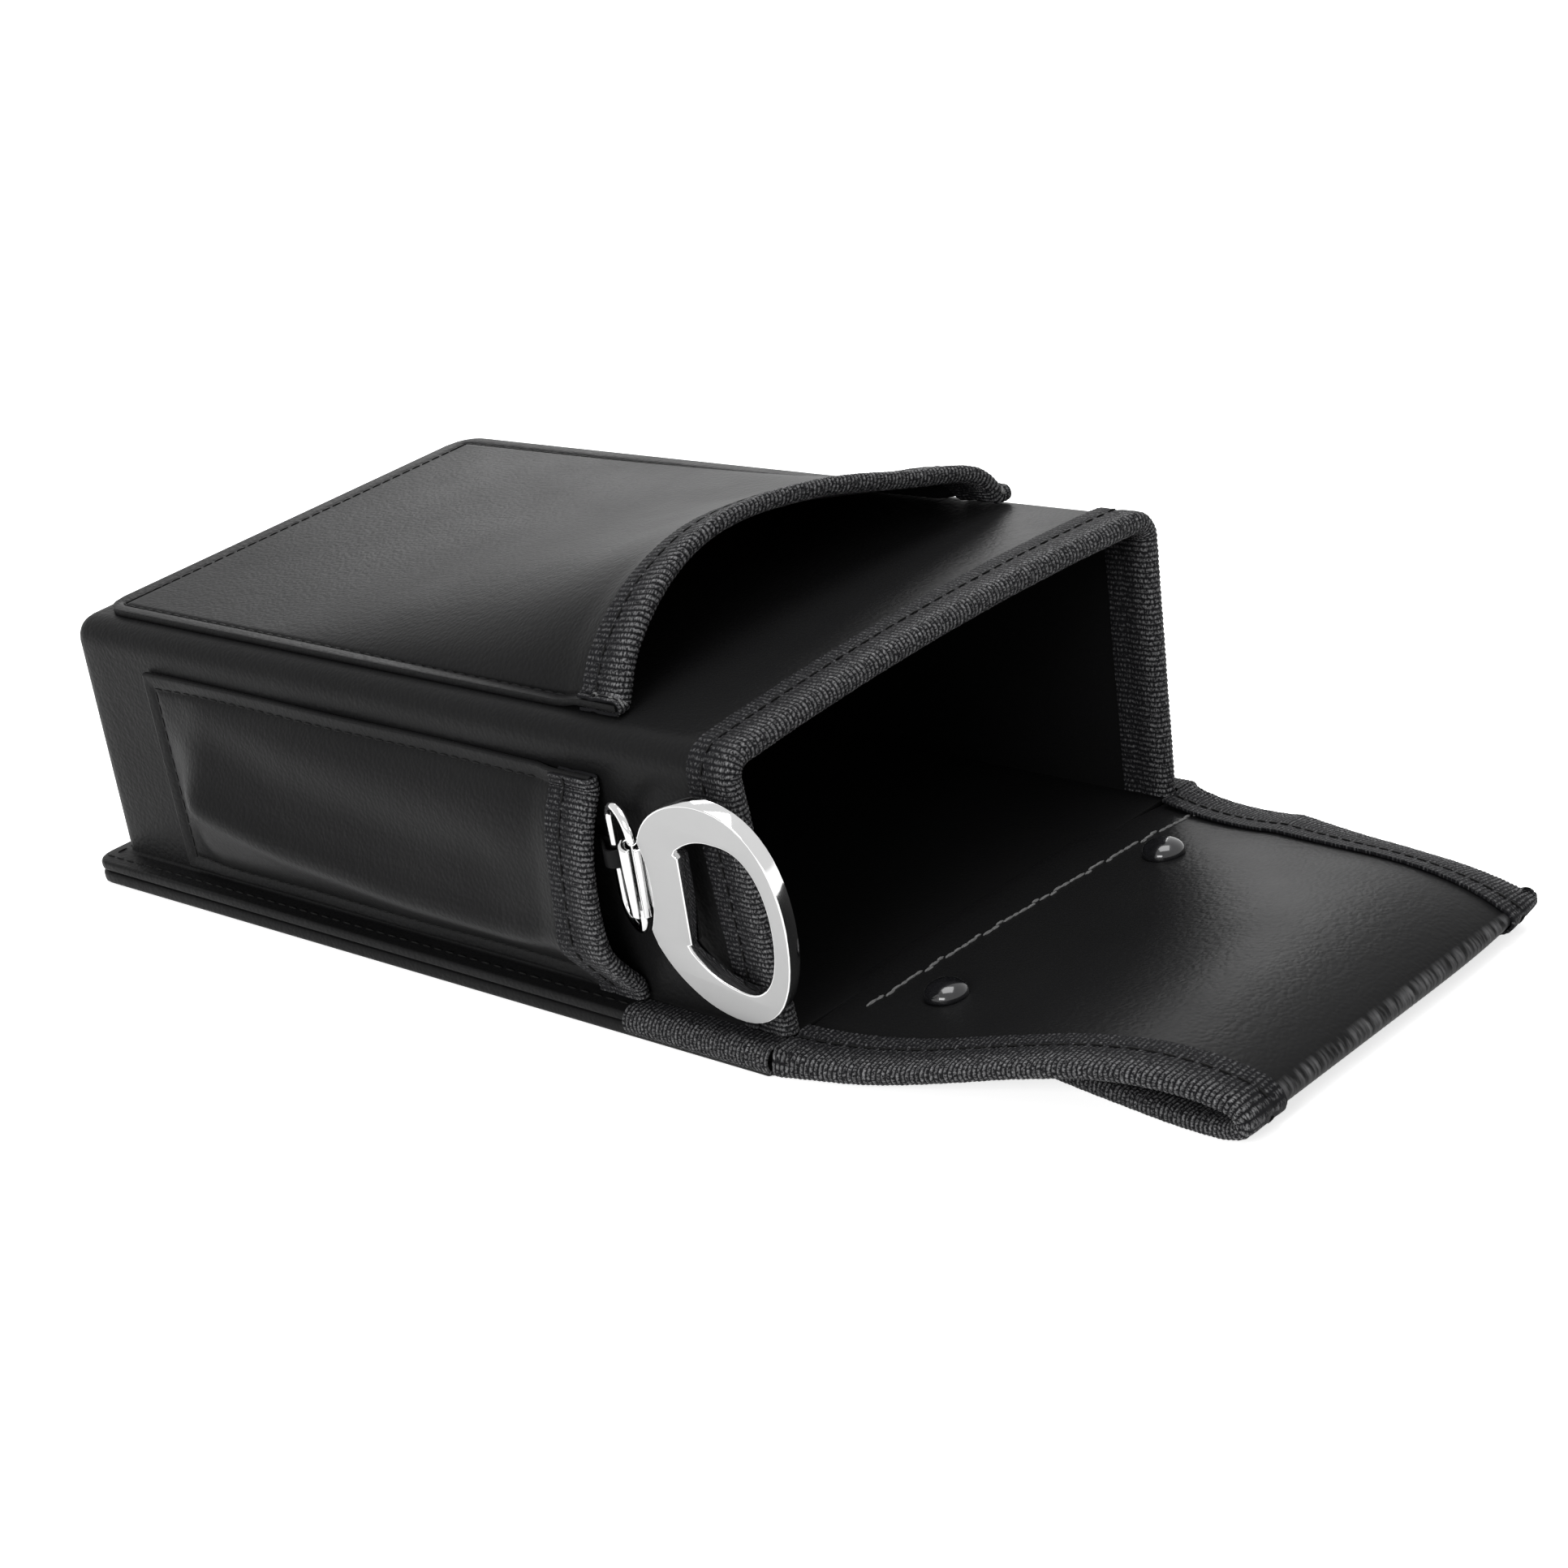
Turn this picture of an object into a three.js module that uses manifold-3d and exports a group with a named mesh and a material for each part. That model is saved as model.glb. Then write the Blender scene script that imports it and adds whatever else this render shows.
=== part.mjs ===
// A waiter's belt pouch, lying on its back with its mouth towards +X. A stiff leather shell stands on a
// three-layer back. It carries a pocket on the front and one on the near side wall, where a bottle opener
// hangs on a wire ring and a leather strap. The back goes on past the mouth as a folded belt loop.
// Every cut edge is bound with a woven tape.
//
// Millimetres, +Z up. The origin is the middle of the back's underside, below the body of the pouch.
import * as THREE from "three";
import { mergeVertices } from "three/addons/utils/BufferGeometryUtils.js";
import Module from "manifold-3d";

const wasm = await Module();
wasm.setup();

// ---- Driving dimensions ----
const GAP = 0.3; // left between pieces that touch

const BODY_LENGTH = 180; // closed end to mouth
const BODY_WIDTH = 105.6; // over the side walls, at the closed end
const BODY_HEIGHT = 54.5; // underside to front face, at the closed end
const EDGE_RADIUS = 5; // of the long edges between front and sides
const WALL = 2; // leather over board
const MOUTH_SPREAD = 7.4; // how much wider the front edge is at the mouth
const MOUTH_RISE = 1.5; // how much higher the front is at the mouth
const MOUTH_BOW = 2.5; // the front's swell in the middle of the mouth
const FAR_RISE = 2.8; // how much taller the far wall stands

const BACK_LEATHER = 1.8;
const BOARD = 1.2;
const LINING = 1.2;
const FLANGE = 5.7; // how far the shell's foot stands out
const FLANGE_CORNER = 4;

const TAPE = 0.7; // thickness of the woven binding
const TAPE_COVER = 9; // how far the binding reaches in from an edge
const FLANGE_TAPE_LENGTH = 33;

const POCKET_LEATHER = 1.2;
const SEAM = 2.5; // flat border of a pocket, where it is sewn down
const TAPE_RAMP = 5; // length over which a pocket's seam lifts to let the tape under it

const FRONT_POCKET_LENGTH = 144;
const FRONT_POCKET_MOUTH = 30; // from the pouch's mouth back to the pocket's
const FRONT_POCKET_FLAT = 40; // of its length, at the closed end
// Across the pocket's mouth: place from the pouch's middle, and height above the front.
const FRONT_BULGE = [
  [-45.5, 0],
  [-41, 8],
  [-31, 15.5],
  [-17, 18.5],
  [4, 15.5],
  [24, 10],
  [41, 5.5],
  [47, 0],
];

const SIDE_POCKET_LENGTH = 127;
const SIDE_POCKET_MOUTH = 32;
const SIDE_POCKET_SHOULDER = 16; // length over which it swells out from its closed end
// Down the pocket's mouth: height above the underside, and how far it stands off the wall.
const SIDE_BULGE = [
  [44.5, 0],
  [39, 2.9],
  [32, 5],
  [24, 6],
  [17, 5.6],
  [12.5, 3],
  [8.7, 0],
];

const LOOP_LEATHER = 1.4;
const LOOP_ROOT_INSET = 1; // in from the flange's edges
const LOOP_END_WIDTH = 84;
const LOOP_SKEW = 3; // the returning layer lies this far to the far side
const LOOP_TUCK = 11.5; // and its end lies this far inside the upper layer's tape
const LOOP_CROWN = 2.8; // how much lower the root's edges lie than its middle
// The loop's middle line: distance past the pouch's mouth, and height.
const LOOP_LINE = [
  [1.6, 4.5],
  [14, 4.7],
  [24, 5.6],
  [34, 7.2],
  [45, 9],
  [56, 10.3],
  [66, 10.3],
  [75, 8.9],
  [81.5, 6.6],
  [83.6, 4.4],
  [81, 2.5],
  [73, 1.8],
  [45, 1.75],
  [20, 1.75],
  [4, 1.75],
];
const LOOP_STEPS = 44;
const LOOP_FOLD_START = 0.49; // share of the middle line where the upper layer ends
const LOOP_TAPE_STEPS = 40; // of its steps that are bound with tape

const RIVET_X = 15; // past the pouch's mouth
const RIVET_INSET = 7; // in from the edges of the tucked end
const RIVET_CAP_RADIUS = 3.8;
const RIVET_CAP_HEIGHT = 2.5;
const RIVET_POST_RADIUS = 1.5;
const RIVET_FOOT_RADIUS = 3;
const RIVET_FOOT = 0.5;

const OPENER_PLATE = 2.8;
// Where the head's axis meets its neck: back from the mouth, off the wall, and above the underside.
const OPENER_BACK = 15.7;
const OPENER_OFF_WALL = 7.6;
const OPENER_HEIGHT = 32.6;
const OPENER_YAW = 2; // degrees: the far end towards the wall,
const OPENER_LEAN = 9.5; // the top away from the wall,
const OPENER_DROOP = -10.5; // and the far end down
const HEAD_LENGTH = 27;
const HEAD_HALF_WIDTH = 21.3;
const HOLE_LIP = 5.8; // from the neck to the straight lip that lifts the cap
const HOLE_LIP_HALF = 8.8;
const HOLE_END = 24.3;
const HOLE_HALF_WIDTH = 15.1;
const BARREL_RADIUS = 3;
const BARREL_LENGTH = 14;
const BARREL_PLACE = -5; // along the head's axis

const RING_WIRE_RADIUS = 1;
const RING_LENGTH = 24; // between the middles of its round ends' wire
const RING_WIDTH = 8.5; // between the middles of its two legs
const RING_TURN = -25; // degrees about the barrel, towards the wall

const STRAP_LEATHER = 0.6;
const STRAP_WIDTH = 3.2;
const STRAP_LENGTH = 42;
const STRAP_EYE_SLACK = 0.6; // round the ring's wire

// ---- Places that follow from them ----
const endX = -BODY_LENGTH / 2;
const mouthX = BODY_LENGTH / 2;
const halfWidth = BODY_WIDTH / 2;
const flangeY = halfWidth + FLANGE;
const boardZ = BACK_LEATHER + GAP;
const liningZ = boardZ + BOARD + GAP;
const baseTop = liningZ + LINING;
const tapeOut = GAP + TAPE;
const loopRootWidth = 2 * (flangeY - LOOP_ROOT_INSET);
const tuckedWidth = loopRootWidth - 2 * (TAPE_COVER + LOOP_TUCK);
const rivetY = tuckedWidth / 2 - RIVET_INSET;
const strapEyeRadius = RING_WIRE_RADIUS + STRAP_EYE_SLACK;

// ---- Materials ----
function finish(color, roughness, metalness) {
  return new THREE.MeshStandardMaterial({ color, roughness, metalness });
}
const leather = finish(0x17171a, 0.5, 0);
const liningLeather = finish(0x111113, 0.7, 0);
const board = finish(0x4a4136, 0.9, 0);
const tape = finish(0x202022, 0.85, 0);
const steel = finish(0xc9cacc, 0.25, 1);
const blackEnamel = finish(0x08080a, 0.15, 0.4);

// ---- Ways to make a solid ----

// A closed geometry as a manifold-3d solid. A mirrored one is turned right side out.
function solid(geometry) {
  const bare = geometry.index ? geometry.toNonIndexed() : geometry.clone();
  bare.deleteAttribute("normal");
  bare.deleteAttribute("uv");
  const merged = mergeVertices(bare, 1e-4);
  const vertProperties = merged.attributes.position.array;
  const triVerts = new Uint32Array(merged.index.array);
  const made = new wasm.Manifold(new wasm.Mesh({ numProp: 3, vertProperties, triVerts }));
  if (made.volume() > 0) return made;
  for (let i = 0; i < triVerts.length; i += 3) {
    triVerts.subarray(i, i + 3).reverse();
  }
  return new wasm.Manifold(new wasm.Mesh({ numProp: 3, vertProperties, triVerts }));
}

// A named mesh of a solid.
function piece(name, made, material) {
  const { vertProperties, triVerts } = made.getMesh();
  const geometry = new THREE.BufferGeometry();
  geometry.setAttribute("position", new THREE.BufferAttribute(new Float32Array(vertProperties), 3));
  geometry.setIndex(new THREE.BufferAttribute(new Uint32Array(triVerts), 1));
  geometry.computeVertexNormals();
  const mesh = new THREE.Mesh(geometry, material);
  mesh.name = name;
  return mesh;
}

// An outline extruded in steps, with every point then put in its place: a and b are the outline's own
// coordinates, and s runs from 0 to 1 along the extrusion.
function form(outline, steps, place) {
  const shape = new THREE.Shape(outline.map(([a, b]) => new THREE.Vector2(a, b)));
  const geometry = new THREE.ExtrudeGeometry(shape, { depth: 1, steps, bevelEnabled: false });
  const position = geometry.getAttribute("position");
  for (let i = 0; i < position.count; i++) {
    const placed = place(position.getX(i), position.getY(i), position.getZ(i));
    position.setXYZ(i, placed.x, placed.y, placed.z);
  }
  return solid(geometry);
}

// An outline extruded straight, between two heights.
function prism(outline, z0, z1) {
  const shape = new THREE.Shape(outline);
  const geometry = new THREE.ExtrudeGeometry(shape, { depth: z1 - z0, bevelEnabled: false });
  geometry.translate(0, 0, z0);
  return solid(geometry);
}

// A straight block between two corners.
function block(low, high) {
  const size = high.map((value, i) => value - low[i]);
  const geometry = new THREE.BoxGeometry(...size);
  geometry.translate(...low.map((value, i) => value + size[i] / 2));
  return solid(geometry);
}

// Evenly spaced places from one to another.
function spaced(from, to, parts) {
  return Array.from({ length: parts + 1 }, (_, i) => from + ((to - from) * i) / parts);
}

// The section of a sheet: a in from its bound edge, b out from its outer face.
function sheetSection(places, thickness) {
  const outer = places.map((a) => [a, 0]);
  const inner = places.map((a) => [a, -thickness]).reverse();
  return [...outer, ...inner];
}

// The section of a tape folded over the edge of a sheet, in the same coordinates.
function tapeSection(thickness, outerCover = TAPE_COVER, innerCover = TAPE_COVER) {
  return [
    [-tapeOut, tapeOut],
    [-tapeOut, -thickness - tapeOut],
    [innerCover, -thickness - tapeOut],
    [innerCover, -thickness - GAP],
    [-GAP, -thickness - GAP],
    [-GAP, GAP],
    [outerCover, GAP],
    [outerCover, tapeOut],
  ];
}

function ramp(value, low, high) {
  return THREE.MathUtils.smoothstep(value, low, high);
}

// ---- The body of the pouch ----

// The walls lean out and the front rises and bows towards the mouth. Nothing below the lining's top moves.
function swell(point) {
  const along = (point.x - endX) / BODY_LENGTH;
  const up = Math.max(0, (point.z - baseTop) / (BODY_HEIGHT - baseTop));
  const across = Math.min(1, Math.abs(point.y) / halfWidth);
  point.y *= 1 + (MOUTH_SPREAD / BODY_WIDTH) * along * up;
  const far = (1 + THREE.MathUtils.clamp(point.y / halfWidth, -1, 1)) / 2;
  point.z += up * (MOUTH_RISE * along + MOUTH_BOW * along ** 2 * (1 - across ** 2) + FAR_RISE * far);
  return point;
}

// A point of the arch that the near wall, the front and the far wall make, from foot to foot, at a
// distance out from its outer face.
const archParts = { wall: 4, corner: 5, halfFront: 4 };
const archHalf = archParts.wall + archParts.corner + archParts.halfFront;
function arch(s, out, foot) {
  const k = s * 2 * archHalf;
  const side = k < archHalf ? -1 : 1;
  const up = Math.min(k, 2 * archHalf - k);
  const shoulder = BODY_HEIGHT - EDGE_RADIUS;
  if (up <= archParts.wall) {
    return [side * (halfWidth + out), foot + ((shoulder - foot) * up) / archParts.wall];
  }
  if (up <= archParts.wall + archParts.corner) {
    const angle = ((up - archParts.wall) / archParts.corner) * (Math.PI / 2);
    const reach = EDGE_RADIUS + out;
    const y = halfWidth - EDGE_RADIUS + reach * Math.cos(angle);
    return [side * y, shoulder + reach * Math.sin(angle)];
  }
  const left = (archHalf - up) / archParts.halfFront;
  return [side * (halfWidth - EDGE_RADIUS) * left, BODY_HEIGHT + out];
}

// The solid under that arch, between two places along the pouch.
function archSolid(out, foot, x0, x1) {
  const outline = Array.from({ length: 2 * archHalf + 1 }, (_, i) => arch(i / (2 * archHalf), out, foot));
  return form(outline, 8, (y, z, s) => swell(new THREE.Vector3(x0 + (x1 - x0) * s, y, z)));
}

// A level plate with round corners at the closed end.
function plate(x0, x1, halfY, corner, z0, z1) {
  const shape = new THREE.Shape();
  shape.moveTo(x1, -halfY);
  shape.lineTo(x1, halfY);
  shape.lineTo(x0 + corner, halfY);
  shape.quadraticCurveTo(x0, halfY, x0, halfY - corner);
  shape.lineTo(x0, -halfY + corner);
  shape.quadraticCurveTo(x0, -halfY, x0 + corner, -halfY);
  return prism(shape.getPoints(6), z0, z1);
}

function frontShell() {
  const foot = plate(endX - FLANGE, mouthX, flangeY, FLANGE_CORNER, boardZ, baseTop);
  const cavity = archSolid(-WALL, -1, endX + WALL, mouthX + 5);
  return archSolid(0, boardZ, endX, mouthX).add(foot).subtract(cavity);
}

function mouthBinding() {
  return form(tapeSection(WALL), 2 * archHalf, (a, b, s) => {
    const [y, z] = arch(s, b, baseTop + GAP);
    return swell(new THREE.Vector3(mouthX - a, y, z));
  });
}

// The back's outer leather is pressed thinner under the flange tape, which ends flush with it.
function backPanel() {
  let panel = plate(endX - FLANGE, mouthX, flangeY, FLANGE_CORNER, 0, BACK_LEATHER);
  for (const side of [-1, 1]) {
    const inner = flangeY - TAPE_COVER - GAP;
    const edges = [side * inner, side * (flangeY + 1)].sort((p, q) => p - q);
    const start = mouthX - FLANGE_TAPE_LENGTH - GAP;
    panel = panel.subtract(block([start, edges[0], -1], [mouthX + 1, edges[1], tapeOut]));
  }
  return panel;
}

function flangeBinding(side) {
  const section = tapeSection(baseTop - tapeOut, FLANGE - tapeOut - GAP, TAPE_COVER);
  return form(section, 3, (a, b, s) => {
    const x = mouthX - FLANGE_TAPE_LENGTH * (1 - s);
    return new THREE.Vector3(x, side * (flangeY - a), baseTop + b);
  });
}

function innerLayer(z0, thickness) {
  const halfY = halfWidth - WALL - GAP;
  return plate(endX + WALL + GAP, mouthX - GAP, halfY, 1, z0, z0 + thickness);
}

// ---- Pockets ----

// A pocket's profile across its mouth: a smooth curve with a flat seam beyond each end.
function profileOf(points) {
  const curve = new THREE.SplineCurve(points.map(([x, y]) => new THREE.Vector2(x, y)));
  const steps = (points.length - 1) * 4 + 2;
  const first = points[0][0];
  const last = points[points.length - 1][0];
  const way = Math.sign(last - first);
  function at(s) {
    const k = THREE.MathUtils.clamp(s, 0, 1) * steps;
    if (k < 1) return new THREE.Vector2(first - way * SEAM * (1 - k), 0);
    if (k > steps - 1) return new THREE.Vector2(last + way * SEAM * (k - steps + 1), 0);
    return curve.getPoint((k - 1) / (steps - 2));
  }
  return { at, steps, way };
}

// Where a point of a pocket's sheet lies across the wall that it is sewn to, and how far off it. rise is
// how much of the mouth's bulge the pocket has there, and lift makes room for the tape below its seam.
function offWall(profile, s, out, rise, lift) {
  const here = profile.at(s);
  const step = 0.5 / profile.steps;
  const slope = profile.at(s + step).sub(profile.at(s - step));
  slope.y *= rise;
  slope.normalize();
  const across = here.x - profile.way * slope.y * out;
  const off = GAP + lift + here.y * rise + profile.way * slope.x * out;
  return [across, off];
}

function tapeLift(x, mouth) {
  const full = mouth - TAPE_COVER - 1;
  return tapeOut * ramp(x, full - TAPE_RAMP, full);
}

const frontProfile = profileOf(FRONT_BULGE);
const frontMouth = mouthX - FRONT_POCKET_MOUTH;
function frontPocketPoint(a, b, s) {
  const x = frontMouth - a;
  const reach = FRONT_POCKET_LENGTH - FRONT_POCKET_FLAT;
  const rise = Math.max(0, 1 - a / reach) ** 1.5;
  const [y, off] = offWall(frontProfile, s, b + POCKET_LEATHER, rise, tapeLift(x, frontMouth));
  return swell(new THREE.Vector3(x, y, BODY_HEIGHT + off));
}

const sideProfile = profileOf(SIDE_BULGE);
const sideMouth = mouthX - SIDE_POCKET_MOUTH;
function sidePocketPoint(a, b, s) {
  const x = sideMouth - a;
  const rise = ramp(SIDE_POCKET_LENGTH - a, SEAM, SEAM + SIDE_POCKET_SHOULDER);
  const [z, off] = offWall(sideProfile, s, b + POCKET_LEATHER, rise, tapeLift(x, sideMouth));
  return swell(new THREE.Vector3(x, -halfWidth - off, z));
}

function pocketSheet(length, profile, point) {
  const level = TAPE_COVER + 1;
  const ramped = spaced(level, level + TAPE_RAMP, 3);
  const places = [0, ...ramped, ...spaced(level + TAPE_RAMP, length, 12).slice(1)];
  return form(sheetSection(places, POCKET_LEATHER), profile.steps, point);
}

function pocketBinding(profile, point) {
  return form(tapeSection(POCKET_LEATHER), profile.steps, point);
}

// ---- The belt loop ----
const loopLine = new THREE.SplineCurve(LOOP_LINE.map(([x, z]) => new THREE.Vector2(mouthX + x, z)));

// The steps along the loop are shorter round the fold.
function loopShare(step) {
  const even = step / LOOP_STEPS;
  return even + 0.1 * Math.sin(2 * Math.PI * even);
}

// A point of the loop: share s of the way along it, y across its own middle as a share of its half width,
// plus a distance in y, and out from its upper and then outer face.
function loopPoint(s, share, inset, out) {
  const here = loopLine.getPointAt(s);
  const along = loopLine.getTangentAt(s);
  const upper = THREE.MathUtils.clamp(s / LOOP_FOLD_START, 0, 1);
  const under = ramp(s, LOOP_FOLD_START, 1);
  const above = THREE.MathUtils.lerp(loopRootWidth, LOOP_END_WIDTH, upper);
  const half = THREE.MathUtils.lerp(above, tuckedWidth, under) / 2;
  const y = share * half + inset;
  const drop = LOOP_CROWN * (1 - upper) * Math.min(1, Math.abs(y) / half) ** 4;
  const raise = out + LOOP_LEATHER / 2 - drop;
  return new THREE.Vector3(here.x - along.y * raise, y + LOOP_SKEW * under, here.y + along.x * raise);
}

function rivetHole(side) {
  const hole = new THREE.CylinderGeometry(RIVET_POST_RADIUS + GAP, RIVET_POST_RADIUS + GAP, 30, 16);
  hole.rotateX(Math.PI / 2);
  hole.translate(mouthX + RIVET_X, side * rivetY, 0);
  return solid(hole);
}

function loopStrap() {
  const section = sheetSection(spaced(-1, 1, 10), LOOP_LEATHER);
  const strap = form(section, LOOP_STEPS, (a, b, s) => loopPoint(loopShare(s * LOOP_STEPS), a, 0, b));
  return strap.subtract(rivetHole(-1)).subtract(rivetHole(1));
}

function loopBinding(side) {
  return form(tapeSection(LOOP_LEATHER), LOOP_TAPE_STEPS, (a, b, s) =>
    loopPoint(loopShare(s * LOOP_TAPE_STEPS), side, -side * a, b),
  );
}

// A domed rivet through both layers of the loop, closed by a flat foot under them.
function rivet(side) {
  const seat = loopPoint(RIVET_X / loopLine.getLength(), 0, side * rivetY, 0).z + GAP;
  const foot = LOOP_LINE[LOOP_LINE.length - 1][1] - LOOP_LEATHER / 2 - GAP;
  const profile = [
    [0, foot - RIVET_FOOT],
    [RIVET_FOOT_RADIUS, foot - RIVET_FOOT],
    [RIVET_FOOT_RADIUS, foot],
    [RIVET_POST_RADIUS, foot],
    [RIVET_POST_RADIUS, seat],
    [RIVET_CAP_RADIUS, seat],
  ];
  for (let i = 1; i <= 5; i++) {
    const angle = (i / 5) * (Math.PI / 2);
    profile.push([RIVET_CAP_RADIUS * Math.cos(angle), seat + RIVET_CAP_HEIGHT * Math.sin(angle)]);
  }
  profile[profile.length - 1][0] = 0;
  const geometry = new THREE.LatheGeometry(
    profile.map(([r, z]) => new THREE.Vector2(r, z)),
    16,
  );
  geometry.rotateX(Math.PI / 2);
  geometry.translate(mouthX + RIVET_X, side * rivetY, 0);
  return solid(geometry);
}

// ---- The bottle opener: x along the head's axis, y along the barrel, z out from the wall ----

// An outline and its mirror image below the axis. A point on the axis is used once.
function mirrored(path) {
  const half = path.getPoints(7);
  const other = half.filter((point) => point.y > 1e-6).reverse();
  return [...half, ...other.map((point) => new THREE.Vector2(point.x, -point.y))];
}

function openerHead() {
  const rim = new THREE.Path();
  rim.moveTo(-0.9, 0);
  rim.quadraticCurveTo(-0.9, 5.5, -2.4, 9);
  rim.bezierCurveTo(-1.2, 15, 5.5, HEAD_HALF_WIDTH, HEAD_LENGTH / 2, HEAD_HALF_WIDTH);
  rim.bezierCurveTo(22.5, HEAD_HALF_WIDTH, HEAD_LENGTH, 12, HEAD_LENGTH, 0);

  const hole = new THREE.Path();
  const middle = (HOLE_LIP + HOLE_END) / 2;
  hole.moveTo(HOLE_LIP, HOLE_LIP_HALF);
  hole.lineTo(HOLE_LIP - 0.9, HOLE_LIP_HALF + 0.6);
  hole.lineTo(HOLE_LIP - 0.2, HOLE_LIP_HALF + 1.9);
  hole.bezierCurveTo(8.5, 13.5, 11, HOLE_HALF_WIDTH, middle + 1, HOLE_HALF_WIDTH);
  hole.bezierCurveTo(21.5, HOLE_HALF_WIDTH, HOLE_END, 8.5, HOLE_END, 0);

  const blank = prism(mirrored(rim), -OPENER_PLATE / 2, OPENER_PLATE / 2);
  const opening = prism(mirrored(hole), -OPENER_PLATE, OPENER_PLATE);

  // The neck is rolled into a barrel, which turns on the ring.
  const barrel = new THREE.CylinderGeometry(BARREL_RADIUS, BARREL_RADIUS, BARREL_LENGTH, 20);
  barrel.translate(BARREL_PLACE, 0, 0);
  const neckDepth = OPENER_PLATE / 2;
  const halfNeck = BARREL_LENGTH / 2 - 0.5;
  const neck = block([BARREL_PLACE, -halfNeck, -neckDepth], [HOLE_LIP / 2, halfNeck, 0]);
  const boreRadius = RING_WIRE_RADIUS + GAP;
  const bore = new THREE.CylinderGeometry(boreRadius, boreRadius, BARREL_LENGTH + 2, 20);
  bore.translate(BARREL_PLACE, 0, 0);
  return blank.subtract(opening).add(solid(barrel)).add(neck).subtract(solid(bore));
}

// A stadium of round wire, with one leg on the axis through the barrel.
function openerRing() {
  const segments = 24;
  const radius = RING_WIDTH / 2;
  const geometry = new THREE.TorusGeometry(radius, RING_WIRE_RADIUS, 8, segments);
  geometry.rotateZ(Math.PI / segments);
  const position = geometry.getAttribute("position");
  for (let i = 0; i < position.count; i++) {
    const y = position.getY(i);
    position.setY(i, y + Math.sign(y) * (RING_LENGTH / 2 - radius));
  }
  geometry.translate(-radius, 0, 0);
  return solid(geometry);
}

// A narrow strap, folded round the ring's free leg and lying doubled along the wall. It is drawn flat,
// with x along the pouch and y towards the wall, and extruded upwards.
function openerStrap(eye, wallY) {
  const outerRadius = strapEyeRadius + STRAP_LEATHER;
  const near = wallY - GAP - eye.y;
  const far = near - 2 * STRAP_LEATHER;
  const shape = new THREE.Shape();
  const leave = THREE.MathUtils.degToRad(125);
  shape.absarc(0, 0, outerRadius, -leave, leave, false);
  shape.lineTo(-2.9 * outerRadius, near);
  shape.lineTo(-STRAP_LENGTH, near);
  shape.lineTo(-STRAP_LENGTH, far);
  shape.lineTo(-2.9 * outerRadius, far);
  const hole = new THREE.Shape();
  hole.absarc(0, 0, strapEyeRadius, 0, 2 * Math.PI, false);
  const strap = prism(shape.getPoints(10), -STRAP_WIDTH / 2, STRAP_WIDTH / 2);
  return strap.subtract(prism(hole.getPoints(10), -STRAP_WIDTH, STRAP_WIDTH)).translate(...eye);
}

// ---- The whole pouch ----
const pouch = new THREE.Group();

pouch.add(
  piece("back_panel", backPanel(), leather),
  piece("back_board", innerLayer(boardZ, BOARD), board),
  piece("back_lining", innerLayer(liningZ, LINING), liningLeather),
  piece("front_shell", frontShell(), leather),
  piece("mouth_binding", mouthBinding(), tape),
  piece("flange_binding_near", flangeBinding(-1), tape),
  piece("flange_binding_far", flangeBinding(1), tape),
);

pouch.add(
  piece("front_pocket", pocketSheet(FRONT_POCKET_LENGTH, frontProfile, frontPocketPoint), leather),
  piece("front_pocket_binding", pocketBinding(frontProfile, frontPocketPoint), tape),
  piece("side_pocket", pocketSheet(SIDE_POCKET_LENGTH, sideProfile, sidePocketPoint), leather),
  piece("side_pocket_binding", pocketBinding(sideProfile, sidePocketPoint), tape),
);

pouch.add(
  piece("loop_strap", loopStrap(), leather),
  piece("loop_binding_near", loopBinding(-1), tape),
  piece("loop_binding_far", loopBinding(1), tape),
  piece("rivet_near", rivet(-1), blackEnamel),
  piece("rivet_far", rivet(1), blackEnamel),
);

const opener = new THREE.Group();
opener.position.set(mouthX - OPENER_BACK, -halfWidth - OPENER_OFF_WALL, OPENER_HEIGHT);
opener.quaternion.setFromRotationMatrix(
  new THREE.Matrix4()
    .makeRotationZ(THREE.MathUtils.degToRad(OPENER_YAW))
    .multiply(new THREE.Matrix4().makeRotationX(THREE.MathUtils.degToRad(90 + OPENER_LEAN)))
    .multiply(new THREE.Matrix4().makeRotationZ(THREE.MathUtils.degToRad(OPENER_DROOP))),
);
opener.add(piece("opener_head", openerHead(), steel));
const ring = piece("opener_ring", openerRing(), steel);
ring.position.x = BARREL_PLACE;
ring.rotation.y = THREE.MathUtils.degToRad(RING_TURN);
opener.add(ring);
pouch.add(opener);

pouch.updateMatrixWorld(true);
const eye = new THREE.Vector3(-RING_WIDTH, 0, 0).applyMatrix4(ring.matrixWorld);
const wallY = swell(new THREE.Vector3(eye.x, -halfWidth, eye.z)).y;
pouch.add(piece("opener_strap", openerStrap(eye, wallY), leather));

export default pouch;
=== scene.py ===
import math

import bmesh
import bpy
import numpy as np
from mathutils import Matrix, Vector


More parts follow.
